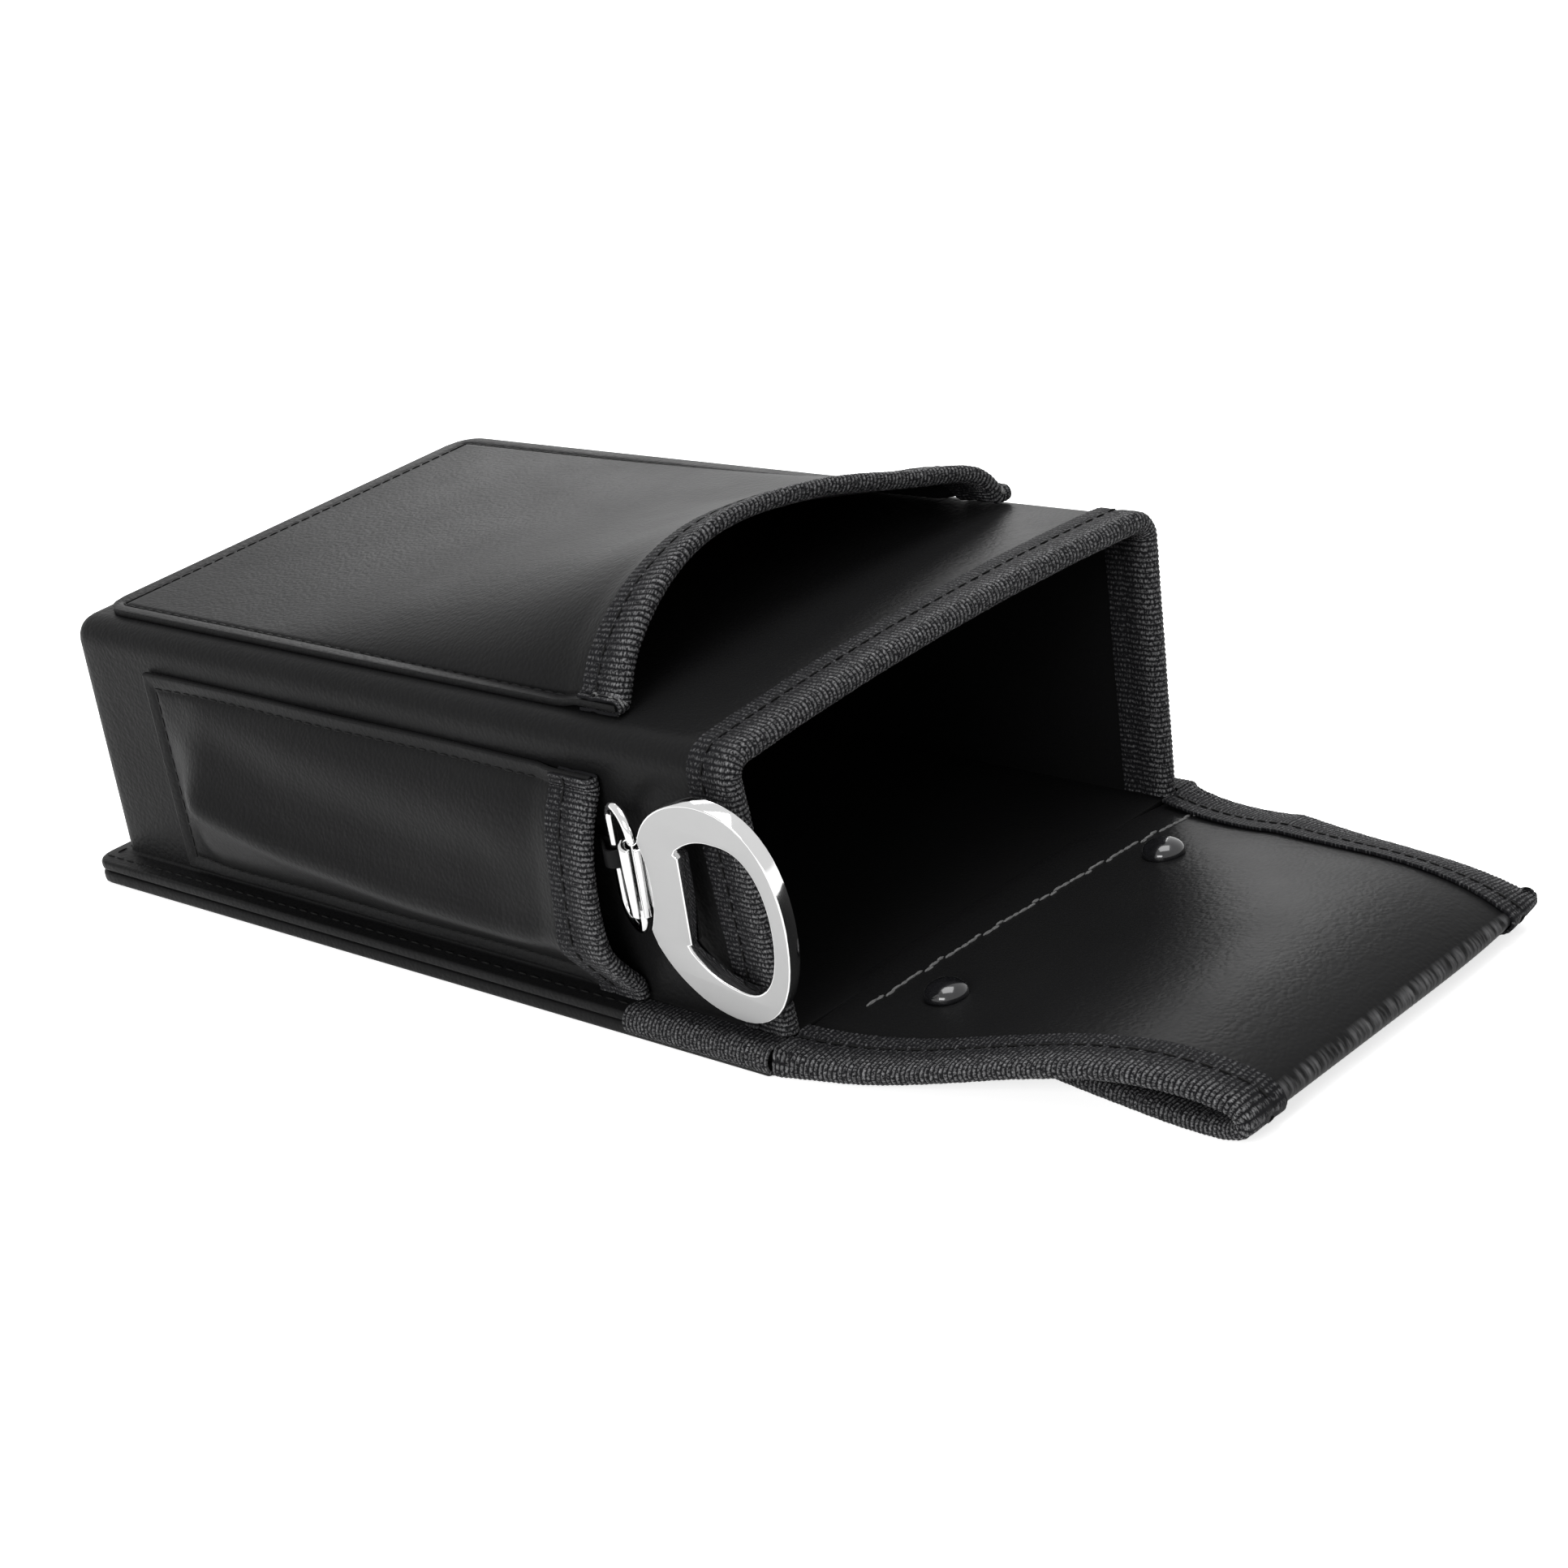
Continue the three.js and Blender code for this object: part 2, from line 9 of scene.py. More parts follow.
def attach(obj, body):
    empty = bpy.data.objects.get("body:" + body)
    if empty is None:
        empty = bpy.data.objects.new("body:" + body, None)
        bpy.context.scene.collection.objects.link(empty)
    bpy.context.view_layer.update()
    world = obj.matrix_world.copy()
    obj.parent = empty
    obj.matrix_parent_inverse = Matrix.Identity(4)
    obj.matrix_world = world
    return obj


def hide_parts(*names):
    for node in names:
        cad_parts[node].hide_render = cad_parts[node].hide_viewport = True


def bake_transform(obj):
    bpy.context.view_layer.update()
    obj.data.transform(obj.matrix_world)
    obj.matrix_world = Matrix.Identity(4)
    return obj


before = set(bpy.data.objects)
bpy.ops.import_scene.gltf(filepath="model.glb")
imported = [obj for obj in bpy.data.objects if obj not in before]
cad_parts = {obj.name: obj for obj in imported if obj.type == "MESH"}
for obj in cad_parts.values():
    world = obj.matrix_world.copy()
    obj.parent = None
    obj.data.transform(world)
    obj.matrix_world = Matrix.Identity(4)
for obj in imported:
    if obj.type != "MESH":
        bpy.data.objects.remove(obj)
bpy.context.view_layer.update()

# ---- The camera ----
# It stands off the near corner of the mouth, a little above the pouch, tilted to one side.
bpy.ops.object.select_all(action="DESELECT")
bpy.ops.object.camera_add(location=(0.454845, -0.39298, 0.253675))
camera = bpy.context.object
camera.name = "camera"
camera.data.sensor_width = 36
camera.data.lens = 77.81
camera.data.clip_start = 0.01
camera.data.clip_end = 20
turn, height, tilt = (math.radians(angle) for angle in (46.305, 22.272, -9.527))
level_share = math.cos(height)
camera_back = Vector((math.sin(turn) * level_share, -math.cos(turn) * level_share, math.sin(height)))
camera_level = Vector((math.cos(turn), math.sin(turn), 0))
camera_rise = camera_back.cross(camera_level)
camera_right = camera_level * math.cos(tilt) + camera_rise * math.sin(tilt)
camera_up = camera_rise * math.cos(tilt) - camera_level * math.sin(tilt)
camera_turn = Matrix((camera_right, camera_up, camera_back)).transposed().to_4x4()
camera.matrix_world = Matrix.Translation(camera.location) @ camera_turn
bpy.context.scene.camera = camera

# ---- The studio ----
# A white sweep under a large soft lamp above, with a weaker one behind the far end and one in front.
# The sweep keeps the shadow.
bpy.context.scene.view_settings.view_transform = "Standard"


def set_up(owner, node, *by_place, **by_name):
    """Gives a node its settings. A value that is another node's output is linked in."""

    def give(socket, value):
        if isinstance(value, bpy.types.NodeSocket):
            owner.node_tree.links.new(value, socket)
        else:
            socket.default_value = value

    for name, value in by_name.items():
        if name in node.bl_rna.properties:
            setattr(node, name, value)
        else:
            give(node.inputs[name.replace("_", " ")], value)
    for place, value in enumerate(by_place):
        give(node.inputs[place], value)
    return node


def node_chain(owner, kind, *by_place, **by_name):
    return set_up(owner, owner.node_tree.nodes.new(kind), *by_place, **by_name)


def maths(owner, operation, *values):
    return node_chain(owner, "ShaderNodeMath", *values, operation=operation).outputs[0]


def new_finish(name):
    finish = bpy.data.materials.new(name)
    finish.use_nodes = True
    return finish, finish.node_tree.nodes["Principled BSDF"]


def seen_directly(owner):
    """1 for what the camera, reflections and glass see, and 0 for the light that falls on the pouch."""
    seen = node_chain(owner, "ShaderNodeLightPath").outputs
    seen_or_mirrored = maths(owner, "MAXIMUM", seen["Is Camera Ray"], seen["Is Glossy Ray"])
    return maths(owner, "MAXIMUM", seen_or_mirrored, seen["Is Transmission Ray"])


def select_only(piece):
    bpy.ops.object.select_all(action="DESELECT")
    piece.select_set(True)
    bpy.context.view_layer.objects.active = piece


AIR_LIGHT, AIR_SEEN, SWEEP_GLOW = 0.35, 1.0, 0.72
sky = bpy.data.worlds.new("studio_air")
bpy.context.scene.world = sky
sky.use_nodes = True
air = node_chain(sky, "ShaderNodeMapRange", Value=seen_directly(sky), To_Min=AIR_LIGHT, To_Max=AIR_SEEN)
background = sky.node_tree.nodes["Background"]
set_up(sky, background, Color=(1, 1, 1, 1), Strength=air.outputs["Result"])

bpy.ops.object.select_all(action="DESELECT")
bpy.ops.mesh.primitive_plane_add(size=6, location=(0, 0, -0.0002))
sweep = bpy.context.object
sweep.name = "floor"
sweep_white, paper = new_finish("sweep_white")
paper_seen = seen_directly(sweep_white)
paper_glow = node_chain(sweep_white, "ShaderNodeMapRange", Value=paper_seen, To_Min=0.0, To_Max=SWEEP_GLOW)
set_up(
    sweep_white,
    paper,
    Base_Color=(0.86, 0.86, 0.86, 1),
    Roughness=0.9,
    Emission_Color=(1, 1, 1, 1),
    Emission_Strength=paper_glow.outputs["Result"],
)
sweep.data.materials.append(sweep_white)


def soft_lamp(name, place, aim, size, power):
    bpy.ops.object.select_all(action="DESELECT")
    bpy.ops.object.light_add(type="AREA", location=place)
    lamp = bpy.context.object
    lamp.name = name
    lamp.data.shape = "RECTANGLE"
    lamp.data.size, lamp.data.size_y = size
    lamp.data.energy = power
    away = Vector(place) - Vector(aim)
    lamp.rotation_euler = away.to_track_quat("Z", "Y").to_euler()


soft_lamp("lamp_behind", (-0.55, 0.65, 0.55), (-0.02, 0, 0.04), (0.5, 0.5), 4)
soft_lamp("lamp_above", (0.1, 0.1, 1.1), (0, 0, 0), (0.7, 0.7), 8)
soft_lamp("lamp_front", (0.35, -0.95, 0.5), (0, 0, 0.03), (0.5, 0.4), 6)

# ---- The front shell ----
# One stiff piece of grained leather over board makes both side walls, the front and the closed end.
# Its foot is turned outwards and sewn to the back. Inside it is faced with smooth black cloth.
MM = 0.001
BODY_END, BODY_MOUTH, HALF_WIDTH, BODY_TOP = -90.0, 90.0, 52.8, 54.5
FOOT_TOP, FLANGE_EDGE, FLANGE_END = 4.8, 58.5, -95.7
SHELL_END, FLANGE_CORNER = -93.0, 4.0
EDGE_RADIUS, FOOT_RADIUS = 4.5, 1.4
WALL = 2.0
PEBBLE_WARP = 0.0016


def grained_leather(name, dark, light, roughness, pebble, depth, gloss):
    leather, shader = new_finish(name)
    where = node_chain(leather, "ShaderNodeTexCoord").outputs["Object"]
    warp = node_chain(leather, "ShaderNodeTexNoise", Vector=where, Scale=260.0, Detail=2.0)
    bent = node_chain(
        leather,
        "ShaderNodeVectorMath",
        warp.outputs["Color"],
        (PEBBLE_WARP,) * 3,
        where,
        operation="MULTIPLY_ADD",
    )
    pebbles = node_chain(
        leather,
        "ShaderNodeTexVoronoi",
        feature="SMOOTH_F1",
        Vector=bent.outputs[0],
        Scale=pebble,
        Smoothness=0.35,
    )
    creases = node_chain(leather, "ShaderNodeTexNoise", Vector=where, Scale=pebble * 0.35, Detail=5.0)
    height = maths(leather, "MULTIPLY_ADD", pebbles.outputs["Distance"], -1.0, creases.outputs["Fac"])
    bump = node_chain(leather, "ShaderNodeBump", Strength=0.5, Distance=depth, Height=height)
    patches = node_chain(leather, "ShaderNodeTexNoise", Vector=where, Scale=22.0, Detail=4.0)
    shade = node_chain(
        leather,
        "ShaderNodeMix",
        data_type="RGBA",
        A=(dark, dark, dark * 1.04, 1),
        B=(light, light, light * 1.03, 1),
        Factor=patches.outputs["Fac"],
    )
    wear = node_chain(leather, "ShaderNodeTexNoise", Vector=where, Scale=60.0, Detail=6.0).outputs["Fac"]
    dull, shiny = roughness + 0.08, roughness - 0.06
    rough = node_chain(leather, "ShaderNodeMapRange", Value=wear, To_Min=shiny, To_Max=dull)
    set_up(
        leather,
        shader,
        Base_Color=shade.outputs["Result"],
        Roughness=rough.outputs["Result"],
        Normal=bump.outputs["Normal"],
        Specular_IOR_Level=gloss,
    )
    return leather


shell_leather = grained_leather("shell_leather", 0.006, 0.010, 0.42, 1150.0, 0.00012, 0.06)
smooth_lining = grained_leather("smooth_lining", 0.005, 0.008, 0.6, 1900.0, 0.00006, 0.04)


def swell(x, y, z):
    """The walls lean out, and the front rises and bows towards the mouth, a little more on the far side."""
    along = (x - BODY_END) / (BODY_MOUTH - BODY_END)
    up = np.maximum(0, (z - FOOT_TOP) / (BODY_TOP - FOOT_TOP))
    across = np.minimum(1, np.abs(y) / HALF_WIDTH)
    rise = up * (1.5 * along + 2.5 * along**2 * (1 - across**2) + 1.4 * (1 + np.clip(y / HALF_WIDTH, -1, 1)))
    return x, y * (1 + 0.0701 * along * up), z + rise


def coordinates(mesh):
    flat = np.empty(len(mesh.vertices) * 3)
    mesh.vertices.foreach_get("co", flat)
    return flat.reshape(-1, 3)


def finish_with(piece, *steps):
    select_only(piece)
    for kind, settings in steps:
        modifier = piece.modifiers.new(kind.lower(), kind)
        for name, value in settings.items():
            setattr(modifier, name, value)
        bpy.ops.object.modifier_apply(modifier=modifier.name)
    bpy.ops.object.shade_smooth_by_angle(angle=math.radians(50))


def soft_edges(width, segments, angle):
    """A bevel modifier on the edges sharper than an angle."""
    limit = {"limit_method": "ANGLE", "angle_limit": math.radians(angle)}
    return "BEVEL", {"width": width * MM, "segments": segments, **limit}


def block(name, middle, size):
    """A box to start a piece from, in mm, left in edit mode."""
    bpy.ops.object.select_all(action="DESELECT")
    bpy.ops.mesh.primitive_cube_add(size=1, location=[place * MM for place in middle])
    box = bpy.context.object
    box.name = name
    box.scale = [length * MM for length in size]
    bpy.ops.object.transform_apply(location=True, rotation=True, scale=True)
    bpy.ops.object.mode_set(mode="EDIT")
    return box, bmesh.from_edit_mesh(box.data)


shell, shell_edit = block(
    "shell_of_leather",
    ((SHELL_END + BODY_MOUTH) / 2, 0, (FOOT_TOP + BODY_TOP) / 2),
    (BODY_MOUTH - SHELL_END, 2 * HALF_WIDTH, BODY_TOP - FOOT_TOP),
)


def choose(edit, kind, test):
    for group in (edit.verts, edit.edges, edit.faces):
        for part in group:
            part.select = False
    for part in getattr(edit, kind):
        if test(part):
            part.select_set(True)
    edit.select_flush_mode()


bpy.ops.mesh.select_mode(type="FACE")
choose(shell_edit, "faces", lambda face: face.normal.x > 0.9 or face.normal.z < -0.9)
bpy.ops.mesh.delete(type="FACE")
bpy.ops.mesh.select_mode(type="EDGE")
shell_edit = bmesh.from_edit_mesh(shell.data)


def edge_middle(edge):
    return (edge.verts[0].co + edge.verts[1].co) / (2 * MM)


def is_folded(edge):
    middle = edge_middle(edge)
    along_top = middle.z > BODY_TOP - 0.5 and (abs(middle.y) > 50 or middle.x < -89)
    return along_top or (middle.x < -89 and abs(middle.y) > 50)


choose(shell_edit, "edges", is_folded)
bpy.ops.mesh.bevel(offset=EDGE_RADIUS * MM, segments=5, profile=0.5, affect="EDGES")
shell_edit = bmesh.from_edit_mesh(shell.data)
choose(shell_edit, "edges", lambda edge: edge.is_boundary and edge_middle(edge).z < FOOT_TOP + 0.1)
bpy.ops.mesh.extrude_edges_move()
shell_edit = bmesh.from_edit_mesh(shell.data)
for corner in [v for v in shell_edit.verts if v.select]:
    x, y = corner.co.x / MM, abs(corner.co.y) / MM
    y = np.interp(y, (0, HALF_WIDTH - EDGE_RADIUS, HALF_WIDTH), (0, FLANGE_EDGE - FLANGE_CORNER, FLANGE_EDGE))
    corner.co.y = math.copysign(y * MM, corner.co.y)
    if x < 89:
        x = np.interp(x, (SHELL_END, SHELL_END + EDGE_RADIUS), (FLANGE_END, FLANGE_END + FLANGE_CORNER))
        corner.co.x = x * MM
bmesh.update_edit_mesh(shell.data)
foot_lines = [
    edge
    for edge in shell_edit.edges
    if len(edge.link_faces) == 2
    and edge_middle(edge).z < FOOT_TOP + 0.1
    and {abs(face.normal.z) > 0.9 for face in edge.link_faces} == {True, False}
]
choose(shell_edit, "edges", lambda edge: edge in foot_lines)
bpy.ops.mesh.bevel(offset=FOOT_RADIUS * MM, segments=3, profile=0.5, affect="EDGES")


def cut_across(axis, stations):
    """Cuts the whole mesh at each station along an axis, so that it can bow."""
    along = [float(axis == way) for way in "xyz"]
    for station in stations:
        bpy.ops.mesh.select_all(action="SELECT")
        bpy.ops.mesh.bisect(plane_co=[station * MM * part for part in along], plane_no=along)


cut_across("x", range(-84, 90, 6))
cut_across("z", range(9, 54, 5))
cut_across("y", range(-48, 49, 6))
bpy.ops.object.mode_set(mode="OBJECT")
rest = coordinates(shell.data) / MM
shell.data.vertices.foreach_set("co", (np.stack(swell(*rest.T), axis=1) * MM).ravel())
shell.data.materials.append(shell_leather)
shell.data.materials.append(smooth_lining)
finish_with(
    shell,
    ("SOLIDIFY", {"thickness": WALL * MM, "offset": -1, "material_offset": 1, "use_even_offset": True}),
    soft_edges(0.6, 3, 70),
)
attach(shell, "pouch")
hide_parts("front_shell")

# ---- The back ----
# A panel of the same leather with a stiff board over it. The panel's rim is sewn to the shell's foot.
# It runs the whole length of the pouch, past the shell on three sides.
BACK_THICK = 2.6
back, back_edit = block(
    "back_of_leather",
    ((FLANGE_END + BODY_MOUTH) / 2, 0, BACK_THICK / 2),
    (BODY_MOUTH - FLANGE_END, 2 * FLANGE_EDGE, BACK_THICK),
)
bpy.ops.mesh.select_mode(type="EDGE")
choose(back_edit, "edges", lambda edge: edge_middle(edge).x < -95 and abs(edge_middle(edge).y) > 58)
bpy.ops.mesh.bevel(offset=FLANGE_CORNER * MM, segments=5, affect="EDGES")
cut_across("x", range(-88, 90, 8))
cut_across("y", range(-56, 57, 8))
bpy.ops.object.mode_set(mode="OBJECT")
back.data.materials.append(shell_leather)
finish_with(back, soft_edges(0.8, 3, 50))
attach(back, "pouch")
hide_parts("back_panel", "back_board")

# ---- The lining ----
# Smooth black cloth glued over the board, the floor of the main compartment.
# It ripples a little where the glue has let go.


def lay_sheet(name, us, vs, place, thickness, relief=None, rim=0.2):
    """A sheet whose outer face is place(u, v, out), in mm, with u and v kept as its UV map."""
    bpy.ops.object.select_all(action="DESELECT")
    bpy.ops.mesh.primitive_grid_add(x_subdivisions=len(us) - 1, y_subdivisions=len(vs) - 1, size=1)
    sheet = bpy.context.object
    sheet.name = name
    flat = coordinates(sheet.data)
    u = np.array(us)[np.rint((flat[:, 0] + 0.5) * (len(us) - 1)).astype(int)]
    v = np.array(vs)[np.rint((flat[:, 1] + 0.5) * (len(vs) - 1)).astype(int)]
    raised = relief(u, v) if relief else np.zeros(len(u))
    laid = np.stack(place(u, v, raised), axis=1)
    outside = np.stack(place(u, v, raised + 0.5), axis=1)
    sheet.data.vertices.foreach_set("co", (laid * MM).ravel())
    layout = sheet.data.uv_layers[0]
    corners = np.empty(len(sheet.data.loops), int)
    sheet.data.loops.foreach_get("vertex_index", corners)
    layout.data.foreach_set("uv", np.stack([u[corners], v[corners]], axis=1).ravel())
    sheet.data.update()
    votes = 0.0
    for face in list(sheet.data.polygons)[:: max(1, len(sheet.data.polygons) // 60)]:
        votes += face.normal.dot(Vector(outside[face.vertices[0]] - laid[face.vertices[0]]))
    if votes < 0:
        bpy.ops.object.mode_set(mode="EDIT")
        bpy.ops.mesh.select_all(action="SELECT")
        bpy.ops.mesh.flip_normals()
        bpy.ops.object.mode_set(mode="OBJECT")
    steps = [("SOLIDIFY", {"thickness": thickness * MM, "offset": -1})]
    if rim:
        steps.append(soft_edges(rim, 2, 60))
    finish_with(sheet, *steps)
    return sheet


def evenly(low, high, step):
    return list(np.linspace(low, high, max(2, int(math.ceil((high - low) / step)) + 1)))


FLOOR_TOP = 4.75


def lining_at(u, v, out):
    ripple = 0.12 * np.sin(u / 17 + v / 31) * np.sin(v / 13)
    return u, v, FLOOR_TOP + ripple + out


lining = lay_sheet("lining_of_back", evenly(-87.6, 89.5, 4), evenly(-50.4, 50.4, 4), lining_at, 1.1)
lining.data.materials.append(smooth_lining)
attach(lining, "pouch")
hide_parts("back_lining")

# ---- The binding tape round the mouth ----
# Black woven tape, folded over the mouth's cut edge and sewn through. It is ribbed across its width,
# most strongly round the fold.
RIB_PITCH = 0.9
TAPE_THICK = 0.55
TAPE_COVER = 9.0
FOLD_ROOM, FOLD_REACH = 0.8, 0.95
STITCH_LINE = 5.6
RIB_DARK, RIB_HIGHLIGHT = (0.007, 0.007, 0.008, 1), (0.26, 0.26, 0.265, 1)


def woven_tape(name):
    tape, shader = new_finish(name)
    where = node_chain(tape, "ShaderNodeUVMap").outputs["UV"]
    run = node_chain(tape, "ShaderNodeSeparateXYZ", Vector=where).outputs
    # The colour follows the ribs. Each crest is painted light as a highlight, broken up by noise specks, and
    # each trough stays near black.
    rib = maths(tape, "SINE", maths(tape, "MULTIPLY", run["X"], math.pi / RIB_PITCH))
    rib = maths(tape, "ABSOLUTE", rib)
    across = node_chain(tape, "ShaderNodeMapping", Vector=where, Scale=(1.6, 2.4, 1)).outputs["Vector"]
    specks = node_chain(tape, "ShaderNodeTexNoise", Vector=across, Scale=1.0, Detail=3.0, Roughness=0.7)
    contrast = node_chain(tape, "ShaderNodeMapRange", Value=specks.outputs["Fac"], From_Min=0.4, From_Max=0.7)
    rib_relief_and_highlight = maths(tape, "MULTIPLY", rib, contrast.outputs["Result"])
    # Painted sheen: the rib highlights are painted at full strength within 3 mm of the fold, where the
    # rounded tape catches the light, and at half strength past 5.5 mm.
    from_fold = maths(tape, "ABSOLUTE", run["Y"])
    painted_fold_sheen = node_chain(
        tape, "ShaderNodeMapRange", Value=from_fold, From_Min=3.0, From_Max=5.5, To_Min=1.0, To_Max=0.5
    )
    tone = node_chain(tape, "ShaderNodeValToRGB", Fac=maths(tape, "MULTIPLY", rib_relief_and_highlight, painted_fold_sheen.outputs["Result"]))
    for element, place, colour in zip(tone.color_ramp.elements, (0.1, 0.85), (RIB_DARK, RIB_HIGHLIGHT)):
        element.position = place
        element.color = colour
    bump = node_chain(tape, "ShaderNodeBump", Strength=0.6, Distance=0.00018, Height=rib_relief_and_highlight)
    set_up(
        tape,
        shader,
        Base_Color=tone.outputs["Color"],
        Roughness=0.6,
        Normal=bump.outputs["Normal"],
        Specular_IOR_Level=0.06,
    )
    return tape


binding_tape = woven_tape("binding_tape")


def over_the_edge(edge_at, sheet_thick):
    """A tape's place round a cut edge: v runs across the tape and is 0 at its fold."""
    radius = sheet_thick / 2 + FOLD_ROOM
    quarter = radius * math.pi / 2

    def tape_at(u, v, out):
        reach = radius + out
        angle = np.clip(v / radius, -math.pi / 2, math.pi / 2)
        beyond = np.maximum(np.abs(v) - quarter, 0)
        a = (radius - FOLD_REACH) - reach * np.cos(angle) + beyond
        b = -sheet_thick / 2 + reach * np.sin(angle)
        return edge_at(u, a, b)

    return tape_at, quarter


def ribs(stitch_line):
    def relief(u, v):
        ridge = np.abs(np.sin(u * math.pi / RIB_PITCH))
        waver = 0.02 * np.sin(u * 1.7 + 3 * np.sin(v)) + 0.02 * np.sin(u * 0.37)
        strength = 0.1 + 0.14 * np.exp(-((v / 4.4) ** 4))
        pressed = 0.24 * np.exp(-(((np.abs(v) - stitch_line) / 0.7) ** 2))
        return strength * (ridge - 0.6) + waver - pressed

    return relief


def bind(name, length, edge_at, sheet_thick, outer=TAPE_COVER, inner=TAPE_COVER, start=0.0):
    tape_at, quarter = over_the_edge(edge_at, sheet_thick)
    shift = quarter - (sheet_thick / 2 + FOLD_ROOM - FOLD_REACH)
    us = evenly(start, start + length, RIB_PITCH / 4)
    vs = evenly(-(inner + shift), outer + shift, 0.62)
    stitch_line = STITCH_LINE + shift
    tape = lay_sheet(name, us, vs, tape_at, TAPE_THICK, ribs(stitch_line), rim=0.12)
    tape.data.materials.append(binding_tape)
    return tape, tape_at, stitch_line, inner + outer + 2 * shift


MOUTH_FOOT = 5.2
wall_run = BODY_TOP - EDGE_RADIUS - MOUTH_FOOT
corner_run = EDGE_RADIUS * math.pi / 2
front_run = 2 * (HALF_WIDTH - EDGE_RADIUS)
mouth_run = 2 * wall_run + 2 * corner_run + front_run


def arch_at(u, out):
    """Round the walls and the front, from the near foot to the far one."""
    half = mouth_run / 2
    side = np.where(u < half, -1.0, 1.0)
    left = np.where(u < half, u, mouth_run - u)
    on_wall = np.clip(left, 0, wall_run)
    round_edge = np.clip((left - wall_run) / EDGE_RADIUS, 0, math.pi / 2)
    on_front = np.clip(left - wall_run - corner_run, 0, None)
    reach = EDGE_RADIUS + out
    y = HALF_WIDTH - EDGE_RADIUS + reach * np.cos(round_edge) - on_front
    z = MOUTH_FOOT + on_wall + reach * np.sin(round_edge)
    return side * y, z


def mouth_edge_at(u, a, b):
    y, z = arch_at(u, b)
    return swell(BODY_MOUTH - a, y, z)


mouth_tape, mouth_tape_at, mouth_stitches, mouth_width = bind("mouth_tape", mouth_run, mouth_edge_at, WALL)
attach(mouth_tape, "pouch")
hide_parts("mouth_binding")

# ---- The thread ----
# Every seam is a lockstitch in bonded black thread, three millimetres to the stitch, pulled a little
# into the leather. One stitch is modelled and then repeated along each seam.
bpy.ops.object.select_all(action="DESELECT")
bpy.ops.mesh.primitive_uv_sphere_add(segments=6, ring_count=5, radius=0.5, location=(0, 0, 0))
one_stitch = bpy.context.object
one_stitch.name = "one_stitch"
bpy.ops.object.mode_set(mode="EDIT")
bpy.ops.mesh.select_all(action="SELECT")
bpy.ops.transform.rotate(value=math.pi / 2, orient_axis="Y", center_override=(0, 0, 0))
bpy.ops.object.mode_set(mode="OBJECT")
stitch_shape = coordinates(one_stitch.data)
stitch_faces = [tuple(face.vertices) for face in one_stitch.data.polygons]
bpy.data.objects.remove(one_stitch)


def bonded_thread(name, tone):
    thread, shader = new_finish(name)
    where = node_chain(thread, "ShaderNodeTexCoord").outputs["Object"]
    ply_relief_and_shade = node_chain(thread, "ShaderNodeTexWave", Vector=where, Scale=1400.0, Distortion=1.5).outputs["Fac"]
    bump = node_chain(thread, "ShaderNodeBump", Strength=0.5, Distance=0.0001, Height=ply_relief_and_shade)
    dark, light = (tone * 0.6,) * 3 + (1,), (tone,) * 3 + (1,)
    # Painted shade: the colour is darker in the grooves between the plies and lighter on their crests,
    # following the bump.
    shade = node_chain(thread, "ShaderNodeMix", data_type="RGBA", A=dark, B=light, Factor=ply_relief_and_shade)
    set_up(
        thread,
        shader,
        Base_Color=shade.outputs["Result"],
        Roughness=0.5,
        Normal=bump.outputs["Normal"],
        Specular_IOR_Level=0.08,
    )
    return thread


black_thread = bonded_thread("black_thread", 0.009)


def sew(name, path_at, length, pitch=3.0, long=2.3, thick=0.5, waver=0.0, material=None):
    """Stitches along path_at(distance, out), which gives places in mm."""
    starts = np.arange(pitch * 0.6, length - pitch * 0.4, pitch)
    before = np.stack(path_at(starts - 0.4, starts * 0), axis=1)
    after = np.stack(path_at(starts + 0.4, starts * 0), axis=1)
    middle = np.stack(path_at(starts, starts * 0), axis=1)
    above = np.stack(path_at(starts, starts * 0 + 1.0), axis=1) - middle
    along = after - before
    along /= np.linalg.norm(along, axis=1)[:, None]
    above -= along * np.sum(above * along, axis=1)[:, None]
    above /= np.linalg.norm(above, axis=1)[:, None]
    beside = np.cross(above, along)
    drift = waver * np.sin(starts * 2.1) + waver * np.sin(starts * 0.77)
    grow = 1 + (0.25 * np.sin(starts * 1.3) if waver else 0 * starts)
    shape = stitch_shape * (long, thick, thick)
    points = middle[:, None, :] + beside[:, None, :] * drift[:, None, None]
    points = points + shape[None, :, 0:1] * along[:, None, :] * grow[:, None, None]
    points = points + shape[None, :, 1:2] * beside[:, None, :] + shape[None, :, 2:3] * above[:, None, :]
    faces = []
    for i in range(len(starts)):
        faces += [tuple(corner + i * len(stitch_shape) for corner in face) for face in stitch_faces]
    mesh = bpy.data.meshes.new(name)
    mesh.from_pydata((points.reshape(-1, 3) * MM).tolist(), [], faces)
    mesh.shade_smooth()
    seam = bpy.data.objects.new(name, mesh)
    bpy.context.scene.collection.objects.link(seam)
    select_only(seam)
    bpy.ops.object.mode_set(mode="EDIT")
    bpy.ops.mesh.select_all(action="SELECT")
    bpy.ops.mesh.normals_make_consistent(inside=False)
    bpy.ops.object.mode_set(mode="OBJECT")
    mesh.materials.append(material or black_thread)
    return seam


def sew_tape(name, tape_at, line, length, start=0.0):
    return sew(name, lambda d, out: tape_at(start + d, line + 0 * d, out - 0.08), length)


mouth_seam = sew_tape("mouth_tape_seam", mouth_tape_at, mouth_stitches, mouth_run)
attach(mouth_seam, "pouch")


FOOT_SEAM_START, FOOT_SEAM_SIDE, FOOT_SEAM_END = 56, 150.0, 2 * 55.4


